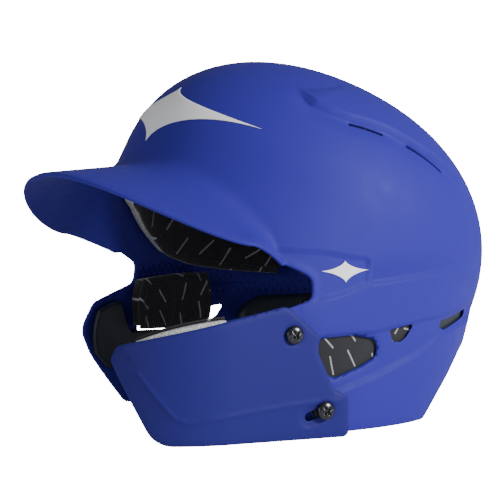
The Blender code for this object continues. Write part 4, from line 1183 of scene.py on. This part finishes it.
def run_for(turn, height):
    turn, height = np.broadcast_arrays(turn, height)
    low, high = np.full(turn.shape, 0.25), np.full(turn.shape, 2.0)
    for _ in range(30):
        middle = (low + high) / 2
        over = wall_at(turn, middle)[..., 2] > height
        low, high = np.where(over, middle, low), np.where(over, high, middle)
    return (low + high) / 2


def under_wall(turn, run, depth):
    step = 0.002
    ahead = wall_at(turn + step, run) - wall_at(turn - step, run)
    down = wall_at(turn, run + step) - wall_at(turn, run - step)
    normal = np.cross(down, ahead)
    normal /= np.linalg.norm(normal, axis=-1)[..., None]
    depth = np.broadcast_to(depth, normal.shape[:-1])
    return wall_at(turn, run) - normal * depth[..., None] + [SHELL_X, SHELL_Y, 0]


def band_foot(turn):
    """The band's lower edge: high over the brow, falling to the nape."""
    off_nose = np.abs((turn + math.pi / 2 + math.pi) % (2 * math.pi) - math.pi)
    degrees, heights = zip(*BAND_FOOT)
    return np.interp(np.degrees(off_nose), degrees, heights)


def band_place(middle, half):
    def place(a, b, depth):
        turn = math.radians(middle) + math.radians(half) * a
        return under_wall(turn, run_for(turn, band_foot(turn) + BAND_HEIGHT * (b + 1) / 2), depth)
    return place


def crown_place(middle, half_long, half_wide):
    def place(a, b, depth):
        x, y = half_wide * a, middle + half_long * b

        def top(px, py):
            length = np.where(py > 0, REAR_LENGTH, FRONT_LENGTH)
            plan = np.abs(px / HALF_WIDTH) ** PLAN_POWER + np.abs(py / length) ** PLAN_POWER
            return CROWN_HEIGHT * (1 - plan ** (CROWN_POWER / PLAN_POWER)) ** (1 / CROWN_POWER)

        step = 0.0005
        slope_x = (top(x + step, y) - top(x - step, y)) / (2 * step)
        slope_y = (top(x, y + step) - top(x, y - step)) / (2 * step)
        normal = np.stack([-slope_x, -slope_y, np.ones_like(slope_x)], -1)
        normal /= np.linalg.norm(normal, axis=-1)[..., None]
        depth = np.broadcast_to(depth, x.shape)
        spot = np.stack([x, y, top(x, y)], -1) - normal * depth[..., None]
        return np.stack([
            spot[..., 0] + SHELL_X,
            spot[..., 1] * math.cos(NOSE_UP) + spot[..., 2] * math.sin(NOSE_UP) + SHELL_Y,
            DOME_HEIGHT - spot[..., 1] * math.sin(NOSE_UP) + spot[..., 2] * math.cos(NOSE_UP)], -1)
    return place


def side_under(y, z, depth, side):
    """Points below the side wall's skin at places (y, z) in the side view."""
    shape = np.shape(y)
    spots = from_side(np.column_stack([np.ravel(y), np.ravel(z)]), side)
    points = skin(spots) - skin_normals(spots) * np.broadcast_to(depth, shape).ravel()[:, None]
    return (points + [SHELL_X, SHELL_Y, 0]).reshape(*shape, 3)


def ear_place(side, low_y, low_z, high_y, high_z):
    def place(a, b, depth):
        return side_under(low_y + (high_y - low_y) * (a + 1) / 2, low_z + (high_z - low_z) * (b + 1) / 2,
                          depth, side)
    return place


JAW_PAD_MIDDLE = 0.066
JAW_PAD_HALF = (0.026, 0.0265)
JAW_PAD_LEAN = 0.010
JAW_PAD_TOP = 0.0203
JAW_PAD_FALL = 0.203
JAW_FACE_DEPTH = 0.0126


def guard_pad_place(a, b, depth):
    forward = JAW_PAD_MIDDLE + JAW_PAD_HALF[0] * a + JAW_PAD_LEAN * b * (a + 1) / 2
    up = JAW_PAD_TOP - JAW_PAD_FALL * forward - JAW_PAD_HALF[1] + JAW_PAD_HALF[1] * b
    spots = np.column_stack([np.ravel(forward), np.ravel(up)])
    return guard_skin(spots, np.broadcast_to(depth, np.shape(a)).ravel()).reshape(*np.shape(a), 3)


PADS = []
for name, place, half_a, half_b, body, roundness in (
        ("brow_pad", band_place(-90, 40), 0.080, 0.022, "helmet", 0.3),
        ("left_side_pad", band_place(-10, 37), 0.072, 0.022, "helmet", 0.3),
        ("right_side_pad", band_place(-170, 37), 0.072, 0.022, "helmet", 0.3),
        ("rear_pad", band_place(90, 60), 0.105, 0.022, "helmet", 0.3),
        ("crown_front_pad", crown_place(-0.066, 0.024, 0.036), 0.036, 0.025, "helmet", 0.5),
        ("crown_centre_pad", crown_place(-0.006, 0.030, 0.030), 0.030, 0.030, "helmet", 0.5),
        ("crown_rear_pad", crown_place(0.056, 0.026, 0.036), 0.036, 0.027, "helmet", 0.5),
        ("left_ear_pad", ear_place(1, -0.0735, 0.0280, 0.0160, 0.0840), 0.0448, 0.028, "helmet", 0.3),
        ("right_ear_pad", ear_place(-1, -0.0735, 0.0525, -0.0110, 0.0860), 0.0325, 0.0168, "helmet", 0.3),
        ("jaw_pad", guard_pad_place, *JAW_PAD_HALF, "jaw_guard_body", 0.3)):
    PADS.append({"name": name, "place": place, "half": (half_a, half_b), "body": body,
                 "roundness": roundness})


def pad_sheet(pad, a_values, b_values, depths):
    """A grid of points over a pad; depths is one depth or one for each point."""
    a, b = np.meshgrid(a_values, b_values)
    round_a = np.sqrt(np.clip(1 - pad["roundness"] * np.minimum(b * b, 1) / 2, 0, None))
    round_b = np.sqrt(np.clip(1 - pad["roundness"] * np.minimum(a * a, 1) / 2, 0, None))
    return pad["place"](a * round_a, b * round_b, depths)


def grid_faces(rows, columns, offset=0):
    faces = []
    for j in range(rows - 1):
        for i in range(columns - 1):
            corner = offset + j * columns + i
            faces.append((corner, corner + 1, corner + columns + 1, corner + columns))
    return faces


foam, tree, shader = node_material("closed_cell_foam_grey_painted_light")
place = tree.nodes.new("ShaderNodeTexCoord")
cells = tree.nodes.new("ShaderNodeTexVoronoi")
cells.inputs["Scale"].default_value = 1400.0
flecks = tree.nodes.new("ShaderNodeTexNoise")
flecks.inputs["Scale"].default_value = 900.0
flecks.inputs["Detail"].default_value = 3.0
# The grey runs paler than the real foam: painted light for the shade inside the shell, with a random mottle
# from the noise.
tone = tree.nodes.new("ShaderNodeValToRGB")
tone.color_ramp.elements[0].position = 0.34
tone.color_ramp.elements[0].color = (0.34, 0.34, 0.34, 1.0)
tone.color_ramp.elements[1].position = 0.68
tone.color_ramp.elements[1].color = (0.72, 0.72, 0.72, 1.0)
pit = tree.nodes.new("ShaderNodeBump")
pit.inputs["Strength"].default_value = 0.6
pit.inputs["Distance"].default_value = 0.0004
tree.links.new(place.outputs["Object"], cells.inputs["Vector"])
tree.links.new(place.outputs["Object"], flecks.inputs["Vector"])
tree.links.new(flecks.outputs["Fac"], tone.inputs["Fac"])
tree.links.new(tone.outputs["Color"], shader.inputs["Base Color"])
tree.links.new(cells.outputs["Distance"], pit.inputs["Height"])
tree.links.new(pit.outputs["Normal"], shader.inputs["Normal"])
shader.inputs["Roughness"].default_value = 0.95
shader.inputs["Specular IOR Level"].default_value = 0.2


def padded_block(name, pad, layers, columns, rows, material):
    """A closed block of foam through a list of (depth, inset) layers, its edges eased."""
    points, faces = [], []
    across = columns + 1
    size = (rows + 1) * across
    for depth, inset in layers:
        reach_a, reach_b = 1 - inset / pad["half"][0], 1 - inset / pad["half"][1]
        points.append(pad_sheet(pad, np.linspace(-reach_a, reach_a, across),
                                np.linspace(-reach_b, reach_b, rows + 1), depth).reshape(-1, 3))
    faces += [face[::-1] for face in grid_faces(rows + 1, across)]
    faces += grid_faces(rows + 1, across, (len(layers) - 1) * size)
    border = [k for k in range(across)] + [j * across + columns for j in range(1, rows + 1)]
    border += [rows * across + k for k in range(columns - 1, -1, -1)]
    border += [j * across for j in range(rows - 1, 0, -1)]
    for layer in range(len(layers) - 1):
        low, high = layer * size, (layer + 1) * size
        for first, second in zip(border, border[1:] + border[:1]):
            faces.append((low + first, low + second, high + second, high + first))
    piece = new_piece(name, np.vstack(points), faces, material)
    a_grid, b_grid = np.meshgrid(np.linspace(-1, 1, across) * pad["half"][0],
                                 np.linspace(-1, 1, rows + 1) * pad["half"][1])
    uv = np.tile(np.column_stack([a_grid.ravel(), b_grid.ravel()]), (len(layers), 1))
    corners = np.zeros(len(piece.data.loops), int)
    piece.data.loops.foreach_get("vertex_index", corners)
    piece.data.uv_layers.new(name="weave").data.foreach_set("uv", uv[corners].ravel())
    used = bmesh.new()
    used.from_mesh(piece.data)
    bmesh.ops.delete(used, geom=[v for v in used.verts if not v.link_faces], context="VERTS")
    bmesh.ops.recalc_face_normals(used, faces=used.faces)
    used.to_mesh(piece.data)
    used.free()
    piece.data.shade_smooth()
    return piece


cores = {}
for pad in PADS:
    columns = max(int(2 * pad["half"][0] / 0.0045), 10)
    rows = max(int(2 * pad["half"][1] / 0.0055), 4)
    if pad["name"] == "jaw_pad":
        layers = [(0.0033, 0.0008), (0.0040, 0.0), (0.0106, 0.0), (0.0113, 0.0008)]
    else:
        layers = [(FOAM_BACK, 0.0008), (FOAM_BACK + 0.0008, 0.0), (FOAM_FRONT - 0.0008, 0.0),
                  (FOAM_FRONT, 0.0008)]
    core = padded_block(pad["name"] + "_core", pad, layers, columns, rows, foam)
    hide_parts(pad["name"] + "_foam")
    cores[pad["name"]] = core
    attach(core, pad["body"])

# Fabric faces: each is a knitted sheet held down along its edges and sewn channels, blown out
# over the foam by a cloth simulation, and then given its thickness.

MARK_SPACING = 0.017

fabric, tree, shader = node_material("knitted_fabric_black")
weave_map = tree.nodes.new("ShaderNodeUVMap")
weave_map.uv_map = "weave"
ribs = []
for direction in ("X", "Y"):
    rib = tree.nodes.new("ShaderNodeTexWave")
    rib.wave_type = "BANDS"
    rib.bands_direction = direction
    rib.inputs["Scale"].default_value = 320.0
    rib.inputs["Distortion"].default_value = 0.6
    rib.inputs["Detail"].default_value = 1.0
    tree.links.new(weave_map.outputs["UV"], rib.inputs["Vector"])
    ribs.append(rib)
knit = tree.nodes.new("ShaderNodeMath")
knit.operation = "MULTIPLY"
tree.links.new(ribs[0].outputs["Fac"], knit.inputs[0])
tree.links.new(ribs[1].outputs["Fac"], knit.inputs[1])
lint = tree.nodes.new("ShaderNodeTexNoise")
lint.inputs["Scale"].default_value = 60.0
lint.inputs["Detail"].default_value = 4.0
tree.links.new(weave_map.outputs["UV"], lint.inputs["Vector"])
blend_in = tree.nodes.new("ShaderNodeMath")
blend_in.operation = "MULTIPLY"
tree.links.new(knit.outputs["Value"], blend_in.inputs[0])
tree.links.new(lint.outputs["Fac"], blend_in.inputs[1])
tone = tree.nodes.new("ShaderNodeValToRGB")
tone.color_ramp.elements[0].color = (0.006, 0.006, 0.009, 1.0)
tone.color_ramp.elements[1].color = (0.030, 0.030, 0.038, 1.0)
tree.links.new(blend_in.outputs["Value"], tone.inputs["Fac"])
mark_space = tree.nodes.new("ShaderNodeMapping")
mark_space.inputs["Scale"].default_value = (1 / MARK_SPACING, 1 / MARK_SPACING, 1.0)
mark_cells = tree.nodes.new("ShaderNodeTexVoronoi")
mark_cells.voronoi_dimensions = "2D"
mark_cells.inputs["Scale"].default_value = 1.0
mark_cells.inputs["Randomness"].default_value = 0.55
from_middle = tree.nodes.new("ShaderNodeVectorMath")
from_middle.operation = "SUBTRACT"
cell_hue = tree.nodes.new("ShaderNodeSeparateXYZ")
cell_turn = tree.nodes.new("ShaderNodeMath")
cell_turn.operation = "MULTIPLY"
cell_turn.inputs[1].default_value = 2.2
stroke_space = tree.nodes.new("ShaderNodeVectorRotate")
stroke_space.rotation_type = "Z_AXIS"
stroke_axes = tree.nodes.new("ShaderNodeSeparateXYZ")
tree.links.new(weave_map.outputs["UV"], mark_space.inputs["Vector"])
tree.links.new(mark_space.outputs["Vector"], mark_cells.inputs["Vector"])
tree.links.new(mark_space.outputs["Vector"], from_middle.inputs[0])
tree.links.new(mark_cells.outputs["Position"], from_middle.inputs[1])
tree.links.new(mark_cells.outputs["Color"], cell_hue.inputs["Vector"])
tree.links.new(cell_hue.outputs["X"], cell_turn.inputs[0])
tree.links.new(from_middle.outputs["Vector"], stroke_space.inputs["Vector"])
tree.links.new(cell_turn.outputs["Value"], stroke_space.inputs["Angle"])
tree.links.new(stroke_space.outputs["Vector"], stroke_axes.inputs["Vector"])
printed = None
for axis, limit in (("X", 0.36), ("Y", 0.035)):
    size = tree.nodes.new("ShaderNodeMath")
    size.operation = "ABSOLUTE"
    within = tree.nodes.new("ShaderNodeMath")
    within.operation = "LESS_THAN"
    within.inputs[1].default_value = limit
    tree.links.new(stroke_axes.outputs[axis], size.inputs[0])
    tree.links.new(size.outputs["Value"], within.inputs[0])
    if printed:
        both = tree.nodes.new("ShaderNodeMath")
        both.operation = "MULTIPLY"
        tree.links.new(printed.outputs["Value"], both.inputs[0])
        tree.links.new(within.outputs["Value"], both.inputs[1])
        printed = both
    else:
        printed = within
inked = tree.nodes.new("ShaderNodeMix")
inked.data_type = "RGBA"
inked.inputs["B"].default_value = (0.30, 0.31, 0.34, 1.0)
tree.links.new(printed.outputs["Value"], inked.inputs["Factor"])
tree.links.new(tone.outputs["Color"], inked.inputs["A"])
tree.links.new(inked.outputs["Result"], shader.inputs["Base Color"])
stitch_bump = tree.nodes.new("ShaderNodeBump")
stitch_bump.inputs["Strength"].default_value = 0.35
stitch_bump.inputs["Distance"].default_value = 0.0003
tree.links.new(knit.outputs["Value"], stitch_bump.inputs["Height"])
tree.links.new(stitch_bump.outputs["Normal"], shader.inputs["Normal"])
shader.inputs["Roughness"].default_value = 0.88
shader.inputs["Sheen Weight"].default_value = 0.25
shader.inputs["Sheen Roughness"].default_value = 0.5

# The ear pads' fabric wraps right round to their backs, which show through the ear holes.
for name in ("left_ear_pad", "right_ear_pad"):
    cores[name].data.materials[0] = fabric

FABRIC_GRAIN = 0.0026
EDGE_WRAP = 0.0013
PUFF_LIMIT = 0.0026
SLIDE_LIMIT = 0.0008
CHANNELS = {"brow_pad": (-0.34, 0.34), "left_side_pad": (-0.33, 0.33), "right_side_pad": (-0.33, 0.33),
            "rear_pad": (-0.5, 0.0, 0.5), "crown_front_pad": (0.0,), "crown_centre_pad": (0.0,),
            "crown_rear_pad": (0.0,), "left_ear_pad": (0.0,), "right_ear_pad": (0.0,), "jaw_pad": (0.0,)}
all_points, all_quads, held, spans = [], [], [], []
offset = 0
for pad in PADS:
    half_a, half_b = pad["half"]
    columns = max(int(2 * half_a / FABRIC_GRAIN), 16)
    rows = max(int(2 * half_b / FABRIC_GRAIN), 7)
    wrap_a, wrap_b = EDGE_WRAP / half_a, EDGE_WRAP / half_b
    b_values = np.concatenate([[-1 - wrap_b, -1 - wrap_b * 0.8], np.linspace(-1, 1, rows + 1),
                               [1 + wrap_b * 0.8, 1 + wrap_b]])
    a_values = np.concatenate([[-1 - wrap_a, -1 - wrap_a * 0.8], np.linspace(-1, 1, columns + 1),
                               [1 + wrap_a * 0.8, 1 + wrap_a]])
    face = JAW_FACE_DEPTH if pad["name"] == "jaw_pad" else COVER_DEPTH
    drop = np.zeros((len(b_values), len(a_values)))
    for k, amount in ((0, 0.0022), (1, 0.0010), (-1, 0.0022), (-2, 0.0010)):
        drop[k, :] = np.maximum(drop[k, :], amount)
        drop[:, k] = np.maximum(drop[:, k], amount)
    sheet = pad_sheet(pad, a_values, b_values, face - drop)
    a_grid, b_grid = np.meshgrid(a_values, b_values)
    pinned = (drop > 0) | (np.abs(b_grid) > 0.999) | (np.abs(a_grid) > 0.999)
    for channel in CHANNELS[pad["name"]]:
        pinned[:, np.argmin(np.abs(a_values - channel))] = True
    all_points.append(sheet.reshape(-1, 3))
    all_quads += grid_faces(len(b_values), len(a_values), offset)
    held.append(pinned.ravel())
    spans.append((offset, offset + sheet.size // 3, len(b_values), len(a_values), a_values, b_values))
    offset += sheet.size // 3
sheet_points = np.vstack(all_points)
held = np.concatenate(held)
quads = np.array(all_quads)
mesh = bpy.data.meshes.new("fabric_sheets")
mesh.from_pydata([tuple(p) for p in sheet_points], [], [tuple(q) for q in quads])
mesh.update()
rest_normals = np.zeros(len(mesh.vertices) * 3)
mesh.vertices.foreach_get("normal", rest_normals)
rest_normals = rest_normals.reshape(-1, 3)
for number, (first, last, *_rest) in enumerate(spans):
    outer_sheet = pad_sheet(PADS[number], spans[number][4], spans[number][5], 0.006).reshape(-1, 3)
    away = sheet_points[first:last] - outer_sheet
    if (rest_normals[first:last] * away).sum() < 0:
        mine = (quads[:, 0] >= first) & (quads[:, 0] < last)
        quads[mine] = quads[mine][:, ::-1]
bpy.data.meshes.remove(mesh)
mesh = bpy.data.meshes.new("fabric_sheets")
mesh.from_pydata([tuple(p) for p in sheet_points], [], [tuple(q) for q in quads])
mesh.update()
inward = np.zeros(len(mesh.vertices) * 3)
mesh.vertices.foreach_get("normal", inward)
inward = inward.reshape(-1, 3)
sheets = bpy.data.objects.new("fabric_sheets", mesh)
bpy.context.scene.collection.objects.link(sheets)
blown = sheet_points.copy()
group = sheets.vertex_groups.new(name="held")
group.add([int(k) for k in np.where(held)[0]], 1.0, "REPLACE")
cloth = sheets.modifiers.new("cloth", "CLOTH")
cloth.settings.vertex_group_mass = "held"
cloth.settings.quality = 6
cloth.settings.mass = 0.15
cloth.settings.tension_stiffness = 6.0
cloth.settings.compression_stiffness = 6.0
cloth.settings.shear_stiffness = 3.0
cloth.settings.bending_stiffness = 0.2
cloth.settings.shrink_min = -0.05
cloth.settings.use_pressure = True
cloth.settings.uniform_pressure_force = 4.0
cloth.settings.effector_weights.gravity = 0.0
cloth.point_cache.frame_start = 1
cloth.point_cache.frame_end = 20
for step in range(1, 21):
    bpy.context.scene.frame_set(step)
settled = sheets.evaluated_get(bpy.context.evaluated_depsgraph_get())
moved = np.zeros(len(mesh.vertices) * 3)
settled.data.vertices.foreach_get("co", moved)
shift = moved.reshape(-1, 3) - sheet_points
raised = (shift * inward).sum(1)
aside = shift - inward * raised[:, None]
slid = np.linalg.norm(aside, axis=1)
aside *= np.minimum(1, SLIDE_LIMIT / np.maximum(slid, 1e-9))[:, None]
raised = np.clip(raised, 0.0, None)
raised = PUFF_LIMIT * np.tanh(raised / PUFF_LIMIT)
blown = sheet_points + inward * raised[:, None] + aside
sheets.modifiers.remove(cloth)
bpy.context.scene.frame_set(1)
bpy.data.objects.remove(sheets)

covers = {}
for pad, (first, last, rows, columns, a_values, b_values) in zip(PADS, spans):
    mine = (quads[:, 0] >= first) & (quads[:, 0] < last)
    cover = new_piece(pad["name"] + "_face", blown[first:last], quads[mine] - first, fabric)
    weave = cover.data.uv_layers.new(name="weave")
    a_grid, b_grid = np.meshgrid(a_values * pad["half"][0], b_values * pad["half"][1])
    uv = np.column_stack([a_grid.ravel(), b_grid.ravel()])
    corners = np.zeros(len(cover.data.loops), int)
    cover.data.loops.foreach_get("vertex_index", corners)
    weave.data.foreach_set("uv", uv[corners].ravel())
    covers[pad["name"]] = cover
    thick = cover.modifiers.new("thickness", "SOLIDIFY")
    thick.thickness = 2 * COVER_HALF
    thick.offset = 0.0
    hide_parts(pad["name"] + "_cover")
    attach(cover, pad["body"])

# Edge and channel stitching: a lockstitch in dark grey thread runs round each fabric face and
# down its sewn channels, and holds the fabric to its foam. Each stitch is a short loop of thread.

STITCH_PITCH = 0.0032
STITCH_HALF_LENGTH = 0.0011
THREAD_RADIUS = 0.00032

thread, tree, shader = node_material("stitching_thread_grey")
place = tree.nodes.new("ShaderNodeTexCoord")
twist = tree.nodes.new("ShaderNodeTexNoise")
twist.inputs["Scale"].default_value = 2400.0
tone = tree.nodes.new("ShaderNodeValToRGB")
tone.color_ramp.elements[0].color = (0.030, 0.031, 0.036, 1.0)
tone.color_ramp.elements[1].color = (0.085, 0.087, 0.095, 1.0)
ply = tree.nodes.new("ShaderNodeBump")
ply.inputs["Strength"].default_value = 0.4
ply.inputs["Distance"].default_value = 0.0001
tree.links.new(place.outputs["Object"], twist.inputs["Vector"])
tree.links.new(twist.outputs["Fac"], tone.inputs["Fac"])
tree.links.new(tone.outputs["Color"], shader.inputs["Base Color"])
tree.links.new(twist.outputs["Fac"], ply.inputs["Height"])
tree.links.new(ply.outputs["Normal"], shader.inputs["Normal"])
shader.inputs["Roughness"].default_value = 0.8

sewn_tree, sewn_in, sewn_out = new_tree("lockstitch", [
    ("Pitch", "NodeSocketFloat", 0.0032), ("Stitch Length", "NodeSocketFloat", 0.0011),
    ("Thread Radius", "NodeSocketFloat", 0.00032), ("Finish", "NodeSocketMaterial", None)])
run_of_thread = sewn_tree.nodes.new("GeometryNodeMeshToCurve")
spaced = sewn_tree.nodes.new("GeometryNodeResampleCurve")
spaced.mode = "LENGTH"
loop = sewn_tree.nodes.new("GeometryNodeMeshIcoSphere")
loop.inputs["Subdivisions"].default_value = 2
loop_size = sewn_tree.nodes.new("ShaderNodeCombineXYZ")
loop_shape = sewn_tree.nodes.new("GeometryNodeTransform")
heading = sewn_tree.nodes.new("GeometryNodeInputTangent")
along_seam = sewn_tree.nodes.new("FunctionNodeAlignRotationToVector")
along_seam.axis = "X"
face_up = sewn_tree.nodes.new("FunctionNodeAlignRotationToVector")
face_up.axis = "Z"
face_up.pivot_axis = "X"
seam_facing = sewn_tree.nodes.new("GeometryNodeInputNamedAttribute")
seam_facing.data_type = "FLOAT_VECTOR"
seam_facing.inputs["Name"].default_value = "facing"
sewn = sewn_tree.nodes.new("GeometryNodeInstanceOnPoints")
sewn_real = sewn_tree.nodes.new("GeometryNodeRealizeInstances")
sewn_paint = sewn_tree.nodes.new("GeometryNodeSetMaterial")
for source, socket, target, entry in (
        (sewn_in, "Geometry", run_of_thread, "Mesh"), (run_of_thread, "Curve", spaced, "Curve"),
        (sewn_in, "Pitch", spaced, "Length"), (loop, "Mesh", loop_shape, "Geometry"),
        (sewn_in, "Stitch Length", loop_size, "X"), (sewn_in, "Thread Radius", loop_size, "Y"),
        (sewn_in, "Thread Radius", loop_size, "Z"), (loop_size, "Vector", loop_shape, "Scale"),
        (heading, "Tangent", along_seam, "Vector"), (along_seam, "Rotation", face_up, "Rotation"),
        (seam_facing, "Attribute", face_up, "Vector"), (spaced, "Curve", sewn, "Points"),
        (loop_shape, "Geometry", sewn, "Instance"), (face_up, "Rotation", sewn, "Rotation"),
        (sewn, "Instances", sewn_real, "Geometry"), (sewn_real, "Geometry", sewn_paint, "Geometry"),
        (sewn_in, "Finish", sewn_paint, "Material"), (sewn_paint, "Geometry", sewn_out, "Geometry")):
    sewn_tree.links.new(source.outputs[socket], target.inputs[entry])

for body, name in (("helmet", "liner_stitches"), ("jaw_guard_body", "jaw_pad_stitches")):
    seam_points, seam_facings, seam_edges = [], [], []
    for pad, (first, last, rows, columns, a_values, b_values) in zip(PADS, spans):
        if pad["body"] != body:
            continue
        number = np.arange(first, last).reshape(rows, columns)
        seams = [number[3, 3:-3], number[-4, 3:-3], number[3:-3, 3], number[3:-3, -4]]
        for channel in CHANNELS[pad["name"]]:
            seams.append(number[4:-4, np.argmin(np.abs(a_values - channel))])
        for seam in seams:
            start = sum(len(part) for part in seam_points)
            seam_points.append(blown[seam] + inward[seam] * (COVER_HALF + 0.0001))
            seam_facings.append(inward[seam])
            seam_edges += [(start + k, start + k + 1) for k in range(len(seam) - 1)]
    base = point_base("seam_lines", np.vstack(seam_points), np.vstack(seam_facings), seam_edges)
    stitches = grown(name, base, sewn_tree, {
        "Pitch": STITCH_PITCH, "Stitch Length": STITCH_HALF_LENGTH, "Thread Radius": THREAD_RADIUS,
        "Finish": thread}, thread)
    stitches.data.shade_smooth()
    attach(stitches, body)

# Nape pad and flap liners: smooth moulded black foam with a rubbery skin, glued inside the back
# of the shell and the front of each flap.

skin_black, tree, shader = node_material("liner_skin_black")
place = tree.nodes.new("ShaderNodeTexCoord")
pores = tree.nodes.new("ShaderNodeTexNoise")
pores.inputs["Scale"].default_value = 700.0
pores.inputs["Detail"].default_value = 3.0
tone = tree.nodes.new("ShaderNodeValToRGB")
tone.color_ramp.elements[0].color = (0.008, 0.014, 0.020, 1.0)
tone.color_ramp.elements[1].color = (0.020, 0.030, 0.040, 1.0)
leather = tree.nodes.new("ShaderNodeBump")
leather.inputs["Strength"].default_value = 0.25
leather.inputs["Distance"].default_value = 0.0002
tree.links.new(place.outputs["Object"], pores.inputs["Vector"])
tree.links.new(pores.outputs["Fac"], tone.inputs["Fac"])
tree.links.new(tone.outputs["Color"], shader.inputs["Base Color"])
tree.links.new(pores.outputs["Fac"], leather.inputs["Height"])
tree.links.new(leather.outputs["Normal"], shader.inputs["Normal"])
shader.inputs["Roughness"].default_value = 0.55


NAPE_PAD_HALF = math.radians(74)
NAPE_PAD_FOOT = NAPE_HEIGHT + 0.0015
NAPE_PAD_HEIGHT = 0.0255
LINING_FRONT = -0.1095
LINING_FOOT = 0.026
LINING_TOP = 0.0715
LINING_TURN_Y = -0.094
LINING_STEP_DOWN = 0.0215


def nape_place(a, b, depth):
    turn = math.pi / 2 + NAPE_PAD_HALF * a
    return under_wall(turn, run_for(turn, NAPE_PAD_FOOT + NAPE_PAD_HEIGHT * (b + 1) / 2), depth)


def liner_place(side, back):
    def place(a, b, depth):
        y = LINING_FRONT + (back - LINING_FRONT) * (a + 1) / 2
        ahead = np.clip(LINING_TURN_Y - y, 0, None)
        foot = LINING_FOOT + ahead * 0.85
        top = LINING_TOP - ahead * 0.25
        if side < 0:
            top = top - LINING_STEP_DOWN * np.clip((y + 0.086) / 0.010, 0, 1)
        return side_under(y, foot + (top - foot) * (b + 1) / 2, depth, side)
    return place


nape = {"name": "nape_pad", "place": nape_place, "half": (0.085, 0.012), "roundness": 0.3}
nape_piece = padded_block("nape_pad_moulding", nape, [
    (FOAM_BACK, 0.0010), (FOAM_BACK + 0.0010, 0.0), (0.0105, 0.0), (0.0125, 0.0007), (0.0136, 0.0022),
    (0.0138, 0.0045)], 60, 8, skin_black)
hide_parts("nape_pad")
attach(nape_piece, "helmet")
for word, side, back in (("left", 1, -0.0760), ("right", -1, -0.0400)):
    liner = {"name": word, "place": liner_place(side, back), "half": ((back - LINING_FRONT) / 2, 0.0228),
             "roundness": 0.35}
    piece = padded_block(word + "_flap_lining", liner, [
        (FOAM_BACK, 0.0006), (FOAM_BACK + 0.0006, 0.0), (0.0067, 0.0), (0.0075, 0.0006),
        (0.0078, 0.0018)], 28, 20, skin_black)
    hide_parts(word + "_flap_liner")
    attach(piece, "helmet")
